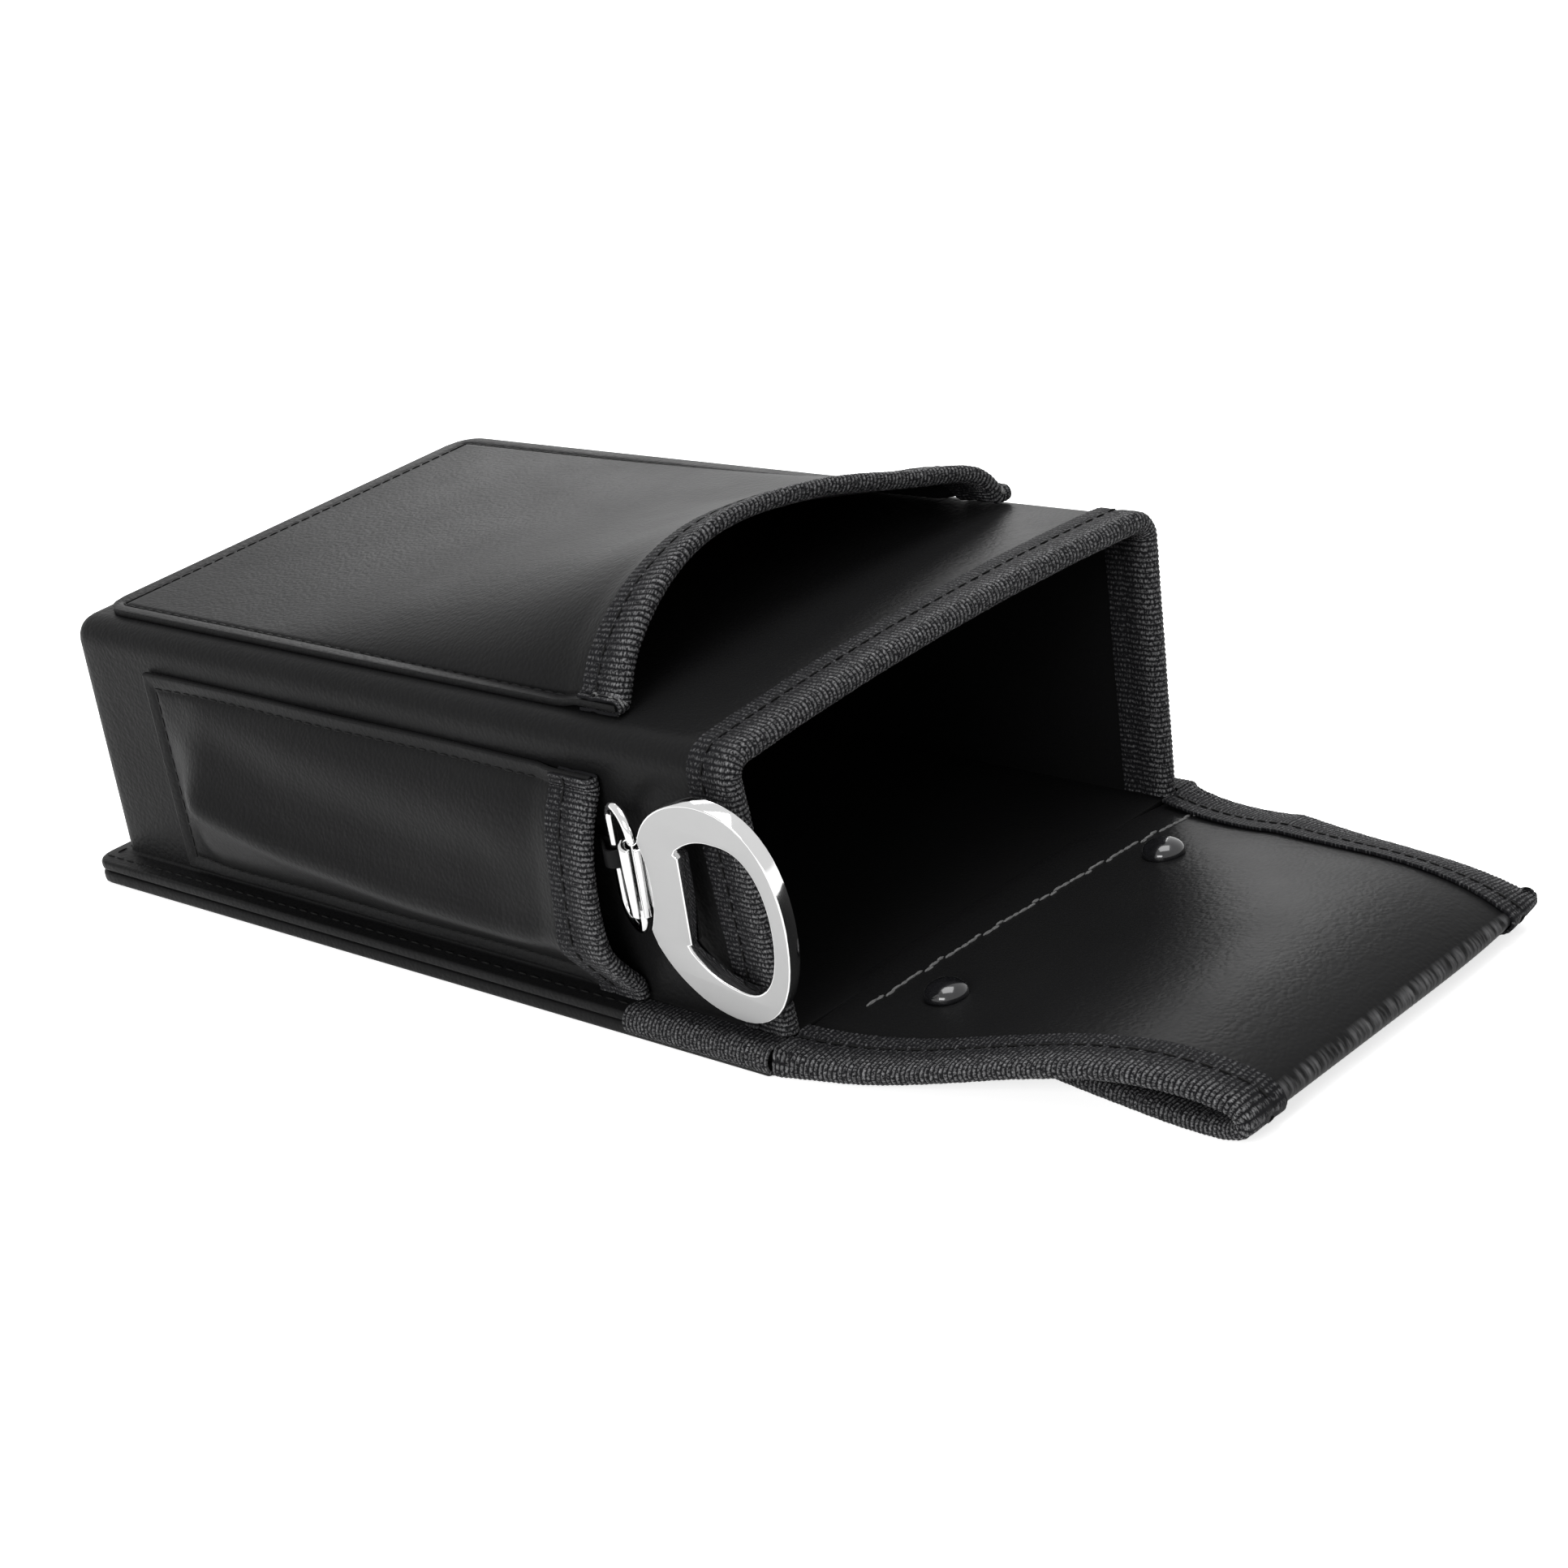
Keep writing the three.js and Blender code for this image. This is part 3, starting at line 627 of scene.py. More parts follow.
def foot_seam_at(d, out):
    """Along the near flange, round the closed end and back along the far one."""
    turned = FOOT_SEAM_SIDE + FOOT_SEAM_END
    back_again = FOOT_SEAM_START - (FOOT_SEAM_SIDE + turned - d)
    x = np.where(d < FOOT_SEAM_SIDE, FOOT_SEAM_START - d, np.where(d < turned, SHELL_END, back_again))
    x = np.maximum(x, SHELL_END)
    across_end = d - FOOT_SEAM_SIDE - FOOT_SEAM_END / 2
    y = np.where(d < FOOT_SEAM_SIDE, -55.9, np.where(d < turned, across_end, 55.9))
    return x, y, FOOT_TOP + 0.05 + out


foot_seam = sew("foot_seam", foot_seam_at, 2 * FOOT_SEAM_SIDE + FOOT_SEAM_END, pitch=3.2)
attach(foot_seam, "pouch")

# ---- The flange's tape beside the mouth ----
# The same tape over the sewn foot and back, on the last 33 mm before the mouth, on both sides.
FLANGE_TAPE_START, FLANGE_TAPE_RUN = 57.0, 33.6
FLANGE_THICK, FLANGE_COVER = 3.6, 4.6
for side, word in ((-1, "near"), (1, "far")):

    def flange_edge_at(u, a, b, side=side):
        return u, side * (FLANGE_EDGE - a), FLOOR_TOP + b + 0 * u

    flange_tape, _, _, flange_width = bind(
        f"flange_tape_{word}",
        FLANGE_TAPE_RUN,
        flange_edge_at,
        FLANGE_THICK,
        outer=FLANGE_COVER,
        start=FLANGE_TAPE_START,
    )
    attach(flange_tape, "pouch")
    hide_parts(f"flange_binding_{word}")

# ---- The front pocket ----
# A patch of grained leather sewn to the front on three sides, full enough to stand open at its mouth.
# Its border lies flat under the stitches.
LEATHER = 1.2
POCKET_BORDER = 2.5
FRONT_LENGTH, FRONT_MOUTH, FRONT_RISE = 147.0, 60.0, 104.0
front_bulge = [(-45.5, 0), (-41, 8), (-31, 15.5), (-17, 18.5), (4, 15.5), (24, 10), (41, 5.5), (47, 0)]


def drawn_line(points, fine=600):
    """A smooth line through points, as a fine table of its places."""
    p = np.array(points, float)
    t = np.linspace(0, len(p) - 1, fine)
    i = np.minimum(t.astype(int), len(p) - 2)
    w = (t - i)[:, None]
    before, here, then, later = p[np.maximum(i - 1, 0)], p[i], p[i + 1], p[np.minimum(i + 2, len(p) - 1)]
    leave, arrive = (then - before) / 2, (later - here) / 2
    cubic = 2 * here - 2 * then + leave + arrive
    square = -3 * here + 3 * then - 2 * leave - arrive
    return cubic * w**3 + square * w**2 + leave * w + here


def distance_along(line):
    return np.concatenate([[0], np.cumsum(np.linalg.norm(np.diff(line, axis=0), axis=1))])


def point_and_slope(s, along, line, reach):
    """The line's two coordinates at distance s, and how far each changes across it."""
    here = [np.interp(s, along, line[:, way]) for way in (0, 1)]
    change = [
        np.interp(s + reach, along, line[:, way]) - np.interp(s - reach, along, line[:, way])
        for way in (0, 1)
    ]
    return *here, *change


def ease(step):
    return step * step * (3 - 2 * step)


def pocket_profile(points, border):
    """Tables along a pocket's mouth: distance, place across with height, and which way it runs."""
    line = drawn_line(points)
    way = math.copysign(1, points[-1][0] - points[0][0])
    start = line[0] - (way * border, 0)
    end = line[-1] + (way * border, 0)
    lead = np.linspace(start, line[0], 30)[:-1]
    tail = np.linspace(line[-1], end, 30)[1:]
    line = np.vstack([lead, line, tail])
    along = distance_along(line)
    even = np.linspace(0, along[-1], 500)
    across, height = np.interp(even, along, line[:, 0]), np.interp(even, along, line[:, 1])
    width = np.arange(-12, 13) * (even[1] - even[0])
    kernel = np.exp(-((width / 0.9) ** 2))
    kernel /= kernel.sum()
    height = np.convolve(np.pad(height, 12), kernel, "valid")
    return even, np.stack([across, height], axis=1), way


def pocket_at(profile, u, out, rise):
    even, line, way = profile
    here_a, here_h, d_a, d_h = point_and_slope(u, even, line, 0.6)
    d_h = d_h * rise
    size = np.hypot(d_a, d_h) + 1e-9
    return here_a - way * d_h / size * out, here_h * rise + way * d_a / size * out


def corner_inset(a, length, radius):
    left = np.clip(length - a, 0, radius)
    return radius - np.sqrt(np.maximum(radius**2 - (radius - left) ** 2, 0))


def tape_lift(a):
    """Under its tape a pocket's mouth stands off the wall by the tape's inner half."""
    return FOLD_REACH * ease(np.clip((TAPE_COVER + 6 - a) / 6, 0, 1))


front_profile = pocket_profile(front_bulge, POCKET_BORDER)
front_run_u = front_profile[0][-1]


def front_pocket_at(u, a, out):
    rise = np.maximum(0, 1 - a / FRONT_RISE) ** 1.5
    y, off = pocket_at(front_profile, u, out + LEATHER, rise)
    y = y * (1 - corner_inset(a, FRONT_LENGTH, 5.5) / 48)
    slack = 0.35 * np.sin(a / 11 + u / 19) * np.sin(math.pi * np.clip(a / 120, 0, 1))
    slack *= np.clip((u - 8) / 14, 0, 1) * np.clip((front_run_u - 8 - u) / 14, 0, 1)
    return swell(FRONT_MOUTH - a, y, BODY_TOP + 0.15 + tape_lift(a) + off + slack * 0.5)


def border_distance(u, a, run, length):
    return np.minimum(np.minimum(u, run - u), length - a)


def front_border(u, a):
    """The border is pressed down along its stitches, and its cut edge stands up a little."""
    d = border_distance(u, a, front_run_u, FRONT_LENGTH)
    return 0.05 * np.exp(-((d / 1.1) ** 2)) - 0.4 * np.exp(-(((d - 3.1) / 0.8) ** 2))


def border_stations(length, edge_low, edge_high, step=2.6):
    low = [0, 0.6, 1.2, 1.8, 2.4, 2.8, 3.2, 3.6, 4.1, 4.8, 6]
    high = [length - x for x in reversed(low)]
    first = low if edge_low else [0]
    last = high if edge_high else [length]
    return first + evenly(first[-1], last[0], step)[1:-1] + last


front_pocket = lay_sheet(
    "front_pocket_leather",
    border_stations(front_run_u, True, True),
    border_stations(FRONT_LENGTH, False, True),
    front_pocket_at,
    LEATHER,
    front_border,
    rim=0.3,
)
front_pocket.data.materials.append(shell_leather)
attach(front_pocket, "pouch")
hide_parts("front_pocket")

front_tape, front_tape_at, front_stitches, front_width = bind(
    "front_pocket_tape", front_run_u, front_pocket_at, LEATHER
)
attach(front_tape, "pouch")
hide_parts("front_pocket_binding")
front_tape_seam = sew_tape("front_pocket_tape_seam", front_tape_at, front_stitches, front_run_u)
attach(front_tape_seam, "pouch")


def border_seam(place_at, run, length, inset, begin):
    """A seam down one side of a pocket, across its closed end and up the other side."""
    side_run = length - inset - begin
    end_run = run - 2 * inset

    def path_at(d, out):
        down = d < side_run
        over = (d >= side_run) & (d < side_run + end_run)
        u = np.where(down, inset, np.where(over, inset + d - side_run, run - inset))
        a = np.where(down, begin + d, np.where(over, length - inset, begin + 2 * side_run + end_run - d))
        return place_at(u, a, out - 0.3)

    return path_at, 2 * side_run + end_run


grey_thread = bonded_thread("grey_thread", 0.2)
for end_u, word in ((1.3, "near"), (front_run_u - 3.4, "far")):
    for row in range(3):
        tack = sew(
            f"front_pocket_tack_{word}_{row}",
            lambda d, out, u=end_u + 0.75 * row: front_tape_at(u + 0 * d, d, out + 0.05),
            9.0,
            pitch=1.3 + 0.1 * row,
            long=1.5,
            thick=0.5,
            waver=0.15,
            material=grey_thread,
        )
        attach(tack, "pouch")
front_seam_at, front_seam_run = border_seam(front_pocket_at, front_run_u, FRONT_LENGTH, 3.1, 14)
front_seam = sew("front_pocket_seam", front_seam_at, front_seam_run, pitch=2.9)
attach(front_seam, "pouch")

# ---- The side pocket ----
# A narrow pocket of the same leather on the near wall, with a soft ridge along it, deep enough for a pen
# and for the strap that the opener hangs on.
SIDE_LENGTH, SIDE_MOUTH = 127.0, 58.0
side_bulge = [(44.5, 0), (39, 2.9), (32, 5), (24, 6), (17, 5.6), (12.5, 3), (8.7, 0)]
side_profile = pocket_profile(side_bulge, POCKET_BORDER)
side_run_u = side_profile[0][-1]
side_ridge = [(0, 18.6), (25, 15.7), (51, 17), (85, 20), (112, 25), (127, 30)]


def side_pocket_at(u, a, out):
    rise = ease(np.clip((SIDE_LENGTH - a - POCKET_BORDER) / 16, 0, 1))
    z, off = pocket_at(side_profile, u, out + LEATHER, rise)
    ridge_z = np.interp(a, *zip(*side_ridge))
    crest = 1.9 * np.exp(-(((z - ridge_z) / 3.4) ** 2)) * rise * np.clip(a / 20, 0, 1)
    hollow = -1.7 * np.exp(-(((z - ridge_z - 12) / 6.0) ** 2)) * rise * np.clip(a / 30, 0, 1)
    wander = 0.25 * np.sin(a / 9.0 + z / 7) * rise * np.clip(a / 20, 0, 1)
    return swell(SIDE_MOUTH - a, -HALF_WIDTH - 0.15 - tape_lift(a) - off - crest - hollow - wander * 0.6, z)


def side_border(u, a):
    d = border_distance(u, a, side_run_u, SIDE_LENGTH)
    return 0.12 * np.exp(-((d / 1.1) ** 2)) - 0.3 * np.exp(-(((d - 3.0) / 0.75) ** 2))


side_pocket = lay_sheet(
    "side_pocket_leather",
    border_stations(side_run_u, True, True, step=1.3),
    border_stations(SIDE_LENGTH, False, True, step=2.2),
    side_pocket_at,
    LEATHER,
    side_border,
    rim=0.3,
)
side_pocket.data.materials.append(shell_leather)
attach(side_pocket, "pouch")
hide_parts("side_pocket")

side_tape, side_tape_at, side_stitches, side_width = bind(
    "side_pocket_tape", side_run_u, side_pocket_at, LEATHER
)
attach(side_tape, "pouch")
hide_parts("side_pocket_binding")
side_tape_seam = sew_tape("side_pocket_tape_seam", side_tape_at, side_stitches, side_run_u)
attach(side_tape_seam, "pouch")
side_seam_at, side_seam_run = border_seam(side_pocket_at, side_run_u, SIDE_LENGTH, 3.0, 14)
side_seam = sew("side_pocket_seam", side_seam_at, side_seam_run, pitch=2.9)
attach(side_seam, "pouch")

# ---- The belt loop ----
# The back's leather runs on past the mouth, folds under itself and is riveted down near its root.
# A belt goes between its two layers. Both long edges are bound, and light thread crosses its root.
LOOP_LEATHER = 1.4
LOOP_FOLD = 0.49
LOOP_ROOT_WIDTH, LOOP_END_WIDTH, LOOP_TUCKED_WIDTH = 115, 84, 74
ROOT_DROOP, FAR_SAG = 2.8, 4.5
loop_line = [
    (-4, 4.35), (1.6, 4.5), (14, 4.7), (24, 5.6), (34, 7.2), (45, 9), (56, 10.3), (66, 10.3), (75, 8.9),
    (81.5, 6.6), (83.6, 4.4), (81, 2.5), (73, 1.8), (45, 1.75), (20, 1.75), (4, 1.75),
]
loop_drawn = drawn_line(loop_line, 2400)
loop_along = distance_along(loop_drawn)
loop_run = loop_along[-1]


def loop_at(s, y_share, inset, out, level=0.0):
    """A place on the loop; level takes back the droop of the root's edges."""
    x, z, d_x, d_z = point_and_slope(s, loop_along, loop_drawn, 0.7)
    size = np.hypot(d_x, d_z)
    share = np.clip((s - 5.6) / (loop_run - 5.6), 0, 1)
    upper = np.clip(share / LOOP_FOLD, 0, 1)
    under = ease(np.clip((share - LOOP_FOLD) / (1 - LOOP_FOLD), 0, 1))
    above = LOOP_ROOT_WIDTH + (LOOP_END_WIDTH - LOOP_ROOT_WIDTH) * upper
    half = (above * (1 - under) + LOOP_TUCKED_WIDTH * under) / 2
    y = y_share * half + inset
    drop = ROOT_DROOP * (1 - upper) * np.minimum(1, np.abs(y) / half) ** 4 * (1 - level)
    sag = FAR_SAG * np.sin(math.pi * np.clip((share - 0.17) / 0.4, 0, 1))
    drop = drop + sag * np.clip(y / half, 0, 1) ** 3.5
    reach = out + LOOP_LEATHER / 2 - drop
    return BODY_MOUTH + x - d_z / size * reach, y + 3 * under, z + d_x / size * reach


fold_middle = loop_run * 0.5 + 3.5
FOLD_HALF_WIDTH, CREASE_PITCH = 43, 1.3


def loop_creases(s, y):
    """Short creases lie across the fold, where the leather's outside is stretched."""
    at_fold = np.exp(-(((s - fold_middle) / 6.0) ** 2))
    return 0.045 * at_fold * (np.abs(np.sin(y * FOLD_HALF_WIDTH * math.pi / CREASE_PITCH)) - 0.5)


loop_stations = evenly(0, fold_middle - 14, 2.5) + evenly(fold_middle - 13, fold_middle + 9, 0.7)
loop_stations += evenly(fold_middle + 10, loop_run, 2.5)
loop_leather = grained_leather("loop_leather", 0.006, 0.010, 0.4, 1100.0, 0.00012, 0.07)
# A painted highlight along the fold's edge: a narrow band of light grey, broken by stretched noise into short
# strokes across the fold.
fold_shader = loop_leather.node_tree.nodes["Principled BSDF"]
fold_where = node_chain(loop_leather, "ShaderNodeUVMap").outputs["UV"]
fold_run = node_chain(loop_leather, "ShaderNodeSeparateXYZ", Vector=fold_where).outputs["X"]
fold_apart = maths(loop_leather, "ABSOLUTE", maths(loop_leather, "SUBTRACT", fold_run, fold_middle + 0.2))
fold_band = node_chain(
    loop_leather, "ShaderNodeMapRange", Value=fold_apart, From_Min=0.2, From_Max=1.5, To_Min=1.0, To_Max=0.0
)
fold_strokes = node_chain(loop_leather, "ShaderNodeMapping", Vector=fold_where, Scale=(0.2, 44, 1))
fold_highlight_strokes = node_chain(
    loop_leather, "ShaderNodeTexNoise", Vector=fold_strokes.outputs["Vector"], Scale=1.0, Detail=2.0
)
fold_sharp = node_chain(
    loop_leather, "ShaderNodeMapRange", Value=fold_highlight_strokes.outputs["Fac"], From_Min=0.4, From_Max=0.68
)
fold_painted_highlight = node_chain(
    loop_leather,
    "ShaderNodeMix",
    data_type="RGBA",
    A=fold_shader.inputs["Base Color"].links[0].from_socket,
    B=(0.11, 0.11, 0.112, 1),
    Factor=maths(loop_leather, "MULTIPLY", fold_band.outputs["Result"], fold_sharp.outputs["Result"]),
)
set_up(loop_leather, fold_shader, Base_Color=fold_painted_highlight.outputs["Result"])
loop = lay_sheet(
    "loop_of_leather",
    loop_stations,
    evenly(-1, 1, 0.0096),
    lambda s, y, out: loop_at(s, y, 0, out),
    LOOP_LEATHER,
    loop_creases,
    rim=0.3,
)
loop.data.materials.append(loop_leather)
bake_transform(loop)
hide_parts("loop_strap")

LOOP_TAPE_START = 4.8
LOOP_TAPE_RUN = loop_run * 0.93 - LOOP_TAPE_START
for side, word in ((-1, "near"), (1, "far")):

    def loop_edge_at(s, a, b, side=side):
        level = np.clip(b / 1.2, 0, 1) * np.exp(-(s - LOOP_TAPE_START) / 9)
        return loop_at(s, side, -side * a, b, level)

    loop_tape, loop_tape_at, loop_stitches, loop_width = bind(
        f"loop_tape_{word}", LOOP_TAPE_RUN, loop_edge_at, LOOP_LEATHER, start=LOOP_TAPE_START
    )
    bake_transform(loop_tape)
    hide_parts(f"loop_binding_{word}")
    loop_seam = sew_tape(
        f"loop_tape_seam_{word}", loop_tape_at, loop_stitches, LOOP_TAPE_RUN, start=LOOP_TAPE_START
    )
    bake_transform(loop_seam)


ROOT_SEAM_AT, ROOT_SEAM_SLANT, ROOT_SEAM_NEAR, ROOT_SEAM_RUN = 8.6, 0.04, -38, 89


def root_seam_at(d, out):
    return loop_at(ROOT_SEAM_AT + ROOT_SEAM_SLANT * d, 0 * d, d + ROOT_SEAM_NEAR, out + 0.05)


root_seam = sew(
    "root_seam",
    root_seam_at,
    ROOT_SEAM_RUN,
    pitch=1.9,
    long=2.3,
    thick=0.62,
    waver=0.25,
    material=grey_thread,
)
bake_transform(root_seam)

# ---- The rivets ----
# Two domed rivets with a glossy black finish go through both layers of the loop. Each has a thin collar
# and a flat foot below.
rivet_enamel, enamel = new_finish("rivet_enamel")
enamel_where = node_chain(rivet_enamel, "ShaderNodeTexCoord").outputs["Object"]
enamel_specks = node_chain(rivet_enamel, "ShaderNodeTexNoise", Vector=enamel_where, Scale=900.0, Detail=5.0)
enamel_shade = node_chain(rivet_enamel, "ShaderNodeValToRGB", Fac=enamel_specks.outputs["Fac"])
enamel_shade.color_ramp.elements[0].color = (0.006, 0.006, 0.007, 1)
enamel_shade.color_ramp.elements[1].color = (0.02, 0.02, 0.022, 1)
enamel_rough = node_chain(
    rivet_enamel, "ShaderNodeMapRange", Value=enamel_specks.outputs["Fac"], To_Min=0.08, To_Max=0.25
)
set_up(
    rivet_enamel,
    enamel,
    Base_Color=enamel_shade.outputs["Color"],
    Metallic=0.3,
    Roughness=enamel_rough.outputs["Result"],
    Coat_Weight=0.6,
    Coat_Roughness=0.05,
)

RIVET_X, RIVET_Y, RIVET_RADIUS = 105.0, 30.0, 3.9
RIVET_STATION = RIVET_X - 84.4
for rivet_y, word in ((-RIVET_Y, "near"), (RIVET_Y, "far")):
    seat = float(loop_at(np.array([RIVET_STATION]), 0, rivet_y, 0.05)[2][0])
    bpy.ops.object.select_all(action="DESELECT")
    bpy.ops.mesh.primitive_uv_sphere_add(
        segments=32, ring_count=24, radius=RIVET_RADIUS * MM, location=(0, 0, 0)
    )
    dome = bpy.context.object
    dome.name = f"rivet_dome_{word}"
    bpy.ops.object.mode_set(mode="EDIT")
    bpy.ops.mesh.select_all(action="SELECT")
    bpy.ops.mesh.bisect(plane_co=(0, 0, 0.0001), plane_no=(0, 0, 1), clear_inner=True, use_fill=False)
    bpy.ops.mesh.select_all(action="SELECT")
    bpy.ops.transform.resize(value=(1, 1, 0.6), center_override=(0, 0, 0))
    dome_edit = bmesh.from_edit_mesh(dome.data)
    bpy.ops.mesh.select_mode(type="EDGE")
    choose(dome_edit, "edges", lambda edge: edge.is_boundary)
    bpy.ops.mesh.extrude_edges_move(TRANSFORM_OT_translate={"value": (0, 0, -0.0004)})
    bpy.ops.mesh.extrude_edges_move()
    bpy.ops.transform.resize(value=(0.38, 0.38, 1), center_override=(0, 0, 0))
    bpy.ops.mesh.extrude_edges_move(TRANSFORM_OT_translate={"value": (0, 0, -(seat - 0.95) * MM)})
    bpy.ops.mesh.extrude_edges_move()
    bpy.ops.transform.resize(value=(2.0, 2.0, 1), center_override=(0, 0, 0))
    bpy.ops.mesh.extrude_edges_move(TRANSFORM_OT_translate={"value": (0, 0, -0.0005)})
    bpy.ops.mesh.edge_face_add()
    bpy.ops.mesh.select_all(action="SELECT")
    bpy.ops.mesh.normals_make_consistent(inside=False)
    bpy.ops.object.mode_set(mode="OBJECT")
    dome.location = (RIVET_X * MM, rivet_y * MM, (seat + 0.45) * MM)
    bpy.ops.object.transform_apply(location=True, rotation=True, scale=True)
    dome.data.materials.append(rivet_enamel)
    finish_with(dome, soft_edges(0.12, 2, 50))
    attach(dome, "belt_loop")
    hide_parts(f"rivet_{word}")

# ---- The bottle opener ----
# A flat head of chromed steel with an oval hole and a straight lip. Its neck is rolled into a barrel that
# turns on a wire ring.
opener_place = (
    Matrix.Translation(Vector((74.3, -60.4, 32.6)) * MM)
    @ Matrix.Rotation(math.radians(2), 4, "Z")
    @ Matrix.Rotation(math.radians(99.5), 4, "X")
    @ Matrix.Rotation(math.radians(-10.5), 4, "Z")
)


def chromed_steel(name, tone, roughness, streak):
    steel, shader = new_finish(name)
    where = node_chain(steel, "ShaderNodeTexCoord").outputs["Object"]
    brushed = node_chain(steel, "ShaderNodeMapping", Vector=where, Scale=(300, 300, 2600)).outputs["Vector"]
    lines = node_chain(steel, "ShaderNodeTexNoise", Vector=brushed, Scale=1.0, Detail=3.0).outputs["Fac"]
    clouds = node_chain(steel, "ShaderNodeTexNoise", Vector=where, Scale=220.0, Detail=3.0).outputs["Fac"]
    bump = node_chain(steel, "ShaderNodeBump", Strength=streak, Distance=0.00004, Height=lines)
    dark, light = (tone * 0.9,) * 3 + (1,), (tone,) * 3 + (1,)
    shade = node_chain(steel, "ShaderNodeMix", data_type="RGBA", A=dark, B=light, Factor=clouds)
    rough = node_chain(
        steel, "ShaderNodeMapRange", Value=clouds, To_Min=roughness * 0.7, To_Max=roughness * 1.3
    )
    set_up(
        steel,
        shader,
        Base_Color=shade.outputs["Result"],
        Metallic=1,
        Roughness=rough.outputs["Result"],
        Normal=bump.outputs["Normal"],
    )
    return steel


satin_chrome = chromed_steel("satin_chrome", 0.36, 0.34, 0.1)
bright_chrome = chromed_steel("bright_chrome", 0.7, 0.08, 0.05)


STROKE_STEPS = 14


def bent_line(strokes):
    """A run of straight and curved strokes: two points make a straight one, three or four a curve."""
    drawn = []
    for stroke in strokes:
        p = [np.array(q, float) for q in stroke]
        t = np.linspace(0, 1, 2 if len(p) == 2 else STROKE_STEPS)[:, None]
        if len(p) == 2:
            drawn.append(p[0] * (1 - t) + p[1] * t)
        elif len(p) == 3:
            drawn.append(p[0] * (1 - t) ** 2 + 2 * p[1] * t * (1 - t) + p[2] * t**2)
        else:
            curved = p[0] * (1 - t) ** 3 + 3 * p[1] * t * (1 - t) ** 2
            drawn.append(curved + 3 * p[2] * t**2 * (1 - t) + p[3] * t**3)
    line = np.vstack(drawn)
    keep = [0] + [i for i in range(1, len(line)) if np.linalg.norm(line[i] - line[i - 1]) > 1e-4]
    return line[keep]


half_rim = bent_line(
    [
        [(-0.9, 0), (-0.9, 5.5), (-2.4, 9)],
        [(-2.4, 9), (-1.2, 15), (5.5, 21.3), (13.5, 21.3)],
        [(13.5, 21.3), (22.5, 21.3), (27, 12), (27, 0)],
    ]
)
half_hole = bent_line(
    [
        [(5.8, 0), (5.8, 8.8)],
        [(5.8, 8.8), (4.9, 9.4)],
        [(4.9, 9.4), (5.6, 10.7)],
        [(5.6, 10.7), (8.5, 13.5), (11, 15.1), (16.05, 15.1)],
        [(16.05, 15.1), (21.5, 15.1), (24.3, 8.5), (24.3, 0)],
    ]
)


def whole_outline(half):
    other = [(x, -y) for x, y in half[::-1] if y > 1e-6]
    return [tuple(point) for point in half] + other


head_curve = bpy.data.curves.new("opener_head_outline", "CURVE")
head_curve.dimensions = "2D"
head_curve.fill_mode = "BOTH"
head_curve.extrude = 1.15 * MM
head_curve.bevel_depth = 0.25 * MM
head_curve.bevel_resolution = 2
for outline in (whole_outline(half_rim), whole_outline(half_hole)):
    spline = head_curve.splines.new("POLY")
    spline.points.add(len(outline) - 1)
    for point, (x, y) in zip(spline.points, outline):
        point.co = (x * MM, y * MM, 0, 1)
    spline.use_cyclic_u = True


def mesh_of_curve(name, curve):
    """A closed mesh made from a curve, with its doubled points joined."""
    drawn = bpy.data.objects.new(curve.name, curve)
    bpy.context.scene.collection.objects.link(drawn)
    select_only(drawn)
    bpy.ops.object.convert(target="MESH")
    made = bpy.context.object
    made.name = name
    bpy.ops.object.mode_set(mode="EDIT")
    bpy.ops.mesh.select_all(action="SELECT")
    bpy.ops.mesh.remove_doubles(threshold=0.00001)
    bpy.ops.mesh.normals_make_consistent(inside=False)
    bpy.ops.object.mode_set(mode="OBJECT")
    return made


opener_head = mesh_of_curve("opener_head_plate", head_curve)
opener_head.data.transform(opener_place)
opener_head.data.materials.clear()
opener_head.data.materials.append(satin_chrome)
opener_head.data.materials.append(bright_chrome)
face_way = (opener_place.to_3x3() @ Vector((0, 0, 1))).normalized()
for face in opener_head.data.polygons:
    face.material_index = 0 if abs(face.normal.dot(face_way)) > 0.98 else 1
bpy.ops.object.shade_smooth_by_angle(angle=math.radians(30))
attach(opener_head, "opener_head")
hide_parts("opener_head")

BARREL_RADIUS, BARREL_LENGTH, BARREL_AWAY = 2.4, 14, -5
GAP_START, GAP_END = 0.7, 1.15
bpy.ops.object.select_all(action="DESELECT")
bpy.ops.mesh.primitive_cylinder_add(
    vertices=32, radius=BARREL_RADIUS * MM, depth=BARREL_LENGTH * MM, end_fill_type="NOTHING"
)
barrel = bpy.context.object
barrel.name = "opener_barrel"
bpy.ops.object.mode_set(mode="EDIT")
bpy.ops.mesh.select_all(action="SELECT")
bpy.ops.transform.rotate(value=math.pi / 2, orient_axis="X", center_override=(0, 0, 0))
barrel_edit = bmesh.from_edit_mesh(barrel.data)
bpy.ops.mesh.select_mode(type="FACE")


def in_gap(face):
    """The rolled edge stops short of the neck along a narrow gap."""
    middle = face.calc_center_median()
    return GAP_START < math.atan2(middle.z, middle.x) < GAP_END


choose(barrel_edit, "faces", in_gap)
bpy.ops.mesh.delete(type="FACE")
bpy.ops.object.mode_set(mode="OBJECT")
finish_with(barrel, ("SOLIDIFY", {"thickness": 1.0 * MM, "offset": -1}), soft_edges(0.2, 2, 50))
barrel.data.transform(opener_place @ Matrix.Translation((BARREL_AWAY * MM, 0, 0)))
barrel.data.materials.append(bright_chrome)
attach(barrel, "opener_head")

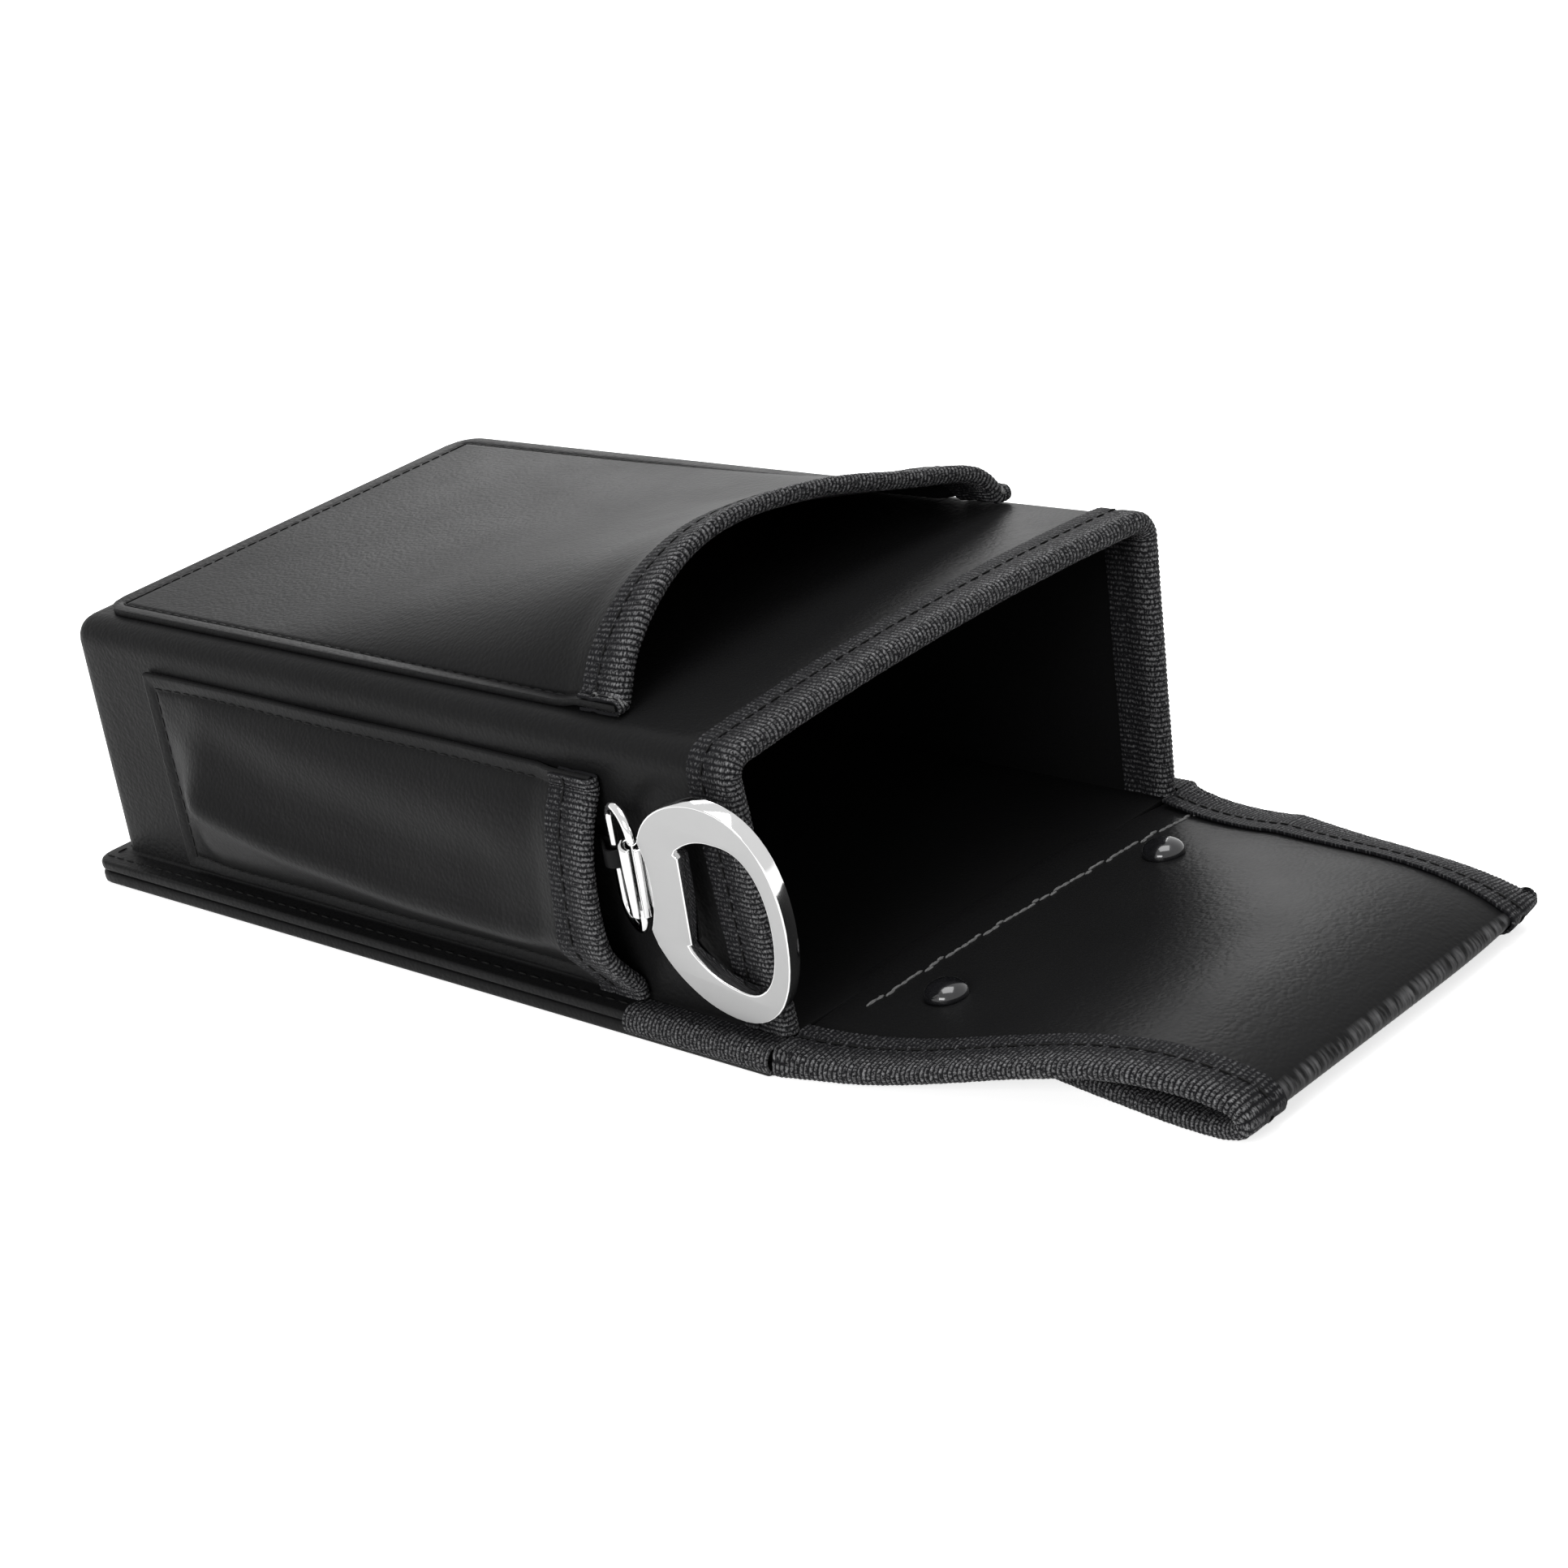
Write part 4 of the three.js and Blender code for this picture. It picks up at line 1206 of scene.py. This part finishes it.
neck, neck_edit = block("opener_neck", (-1.0, 0, -0.75), (4.6, 13, 1.3))
bpy.ops.mesh.select_mode(type="FACE")
choose(neck_edit, "faces", lambda face: face.normal.x < -0.9)
bpy.ops.transform.translate(value=(0, 0, -0.6 * MM))
bpy.ops.object.mode_set(mode="OBJECT")
finish_with(neck, soft_edges(0.3, 3, 40))
neck.data.transform(opener_place)
neck.data.materials.append(bright_chrome)
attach(neck, "opener_head")

# ---- The ring ----
# A long closed ring of round chromed wire. One leg goes through the barrel, so that the head can turn,
# and the other lies in the strap's eye.
WIRE_RADIUS, RING_BEND, RING_LEG = 0.9, 4.25, 7.75
RING_SETBACK, RING_TURN, RING_STEPS = -0.7, -25, 40
ring_curve = bpy.data.curves.new("opener_ring_line", "CURVE")
ring_curve.dimensions = "3D"
ring_curve.bevel_depth = WIRE_RADIUS * MM
ring_curve.bevel_resolution = 4
ring_line = []
for step in range(RING_STEPS):
    angle = 2 * math.pi * (step + 0.5) / RING_STEPS
    y = RING_BEND * math.sin(angle)
    ring_line.append((RING_BEND * math.cos(angle) - RING_BEND, y + math.copysign(RING_LEG, y), 0))
ring_spline = ring_curve.splines.new("POLY")
ring_spline.points.add(len(ring_line) - 1)
for point, (x, y, z) in zip(ring_spline.points, ring_line):
    point.co = (x * MM, y * MM, z * MM, 1)
ring_spline.use_cyclic_u = True
ring = mesh_of_curve("ring_of_wire", ring_curve)
ring_shift = Matrix.Translation((BARREL_AWAY * MM, RING_SETBACK * MM, 0))
ring_place = opener_place @ ring_shift @ Matrix.Rotation(math.radians(RING_TURN), 4, "Y")
ring.data.transform(ring_place)
bpy.ops.object.shade_smooth()
ring.data.materials.append(bright_chrome)
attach(ring, "opener_ring")
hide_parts("opener_ring")

# ---- The opener's strap ----
# A narrow leather strap, folded round the ring's free leg. Both its layers go down into the side pocket,
# which keeps the opener at the mouth.
eye = ring_place @ Vector((-2 * RING_BEND * MM, 0, 0)) / MM
wall_y = swell(np.array([eye.x]), np.array([-HALF_WIDTH]), np.array([eye.z]))[1][0]
STRAP_THICK, STRAP_EYE, STRAP_TAIL, STRAP_HALF = 0.6, 1.6, 42.0, 1.6
strap_near, strap_far = wall_y - 0.3 - eye.y, wall_y - 0.3 - 2 * STRAP_THICK - eye.y
leave = math.radians(125)
strap_out = STRAP_EYE + STRAP_THICK
strap_line = [(-STRAP_TAIL, strap_far), (-24, strap_far), (-8, strap_far), (-5.2, strap_far - 0.2)]
for step in range(15):
    angle = -leave + 2 * leave * step / 14
    strap_line.append((strap_out * math.cos(angle), strap_out * math.sin(angle)))
strap_line += [(-5.2, strap_near - 0.1), (-8, strap_near), (-24, strap_near), (-STRAP_TAIL, strap_near)]
strap_drawn = drawn_line(strap_line, 900)
strap_along = distance_along(strap_drawn)


def strap_at(s, v, out):
    x, y, d_x, d_y = point_and_slope(s, strap_along, strap_drawn, 0.3)
    size = np.hypot(d_x, d_y)
    return eye.x + x + d_y / size * out, eye.y + y - d_x / size * out, eye.z + v


strap = lay_sheet(
    "strap_of_leather",
    evenly(0, strap_along[-1], 0.8),
    evenly(-STRAP_HALF, STRAP_HALF, 0.4),
    strap_at,
    STRAP_THICK * 0.9,
    rim=0.12,
)
strap.data.materials.append(shell_leather)
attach(strap, "opener_strap")
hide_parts("opener_strap")
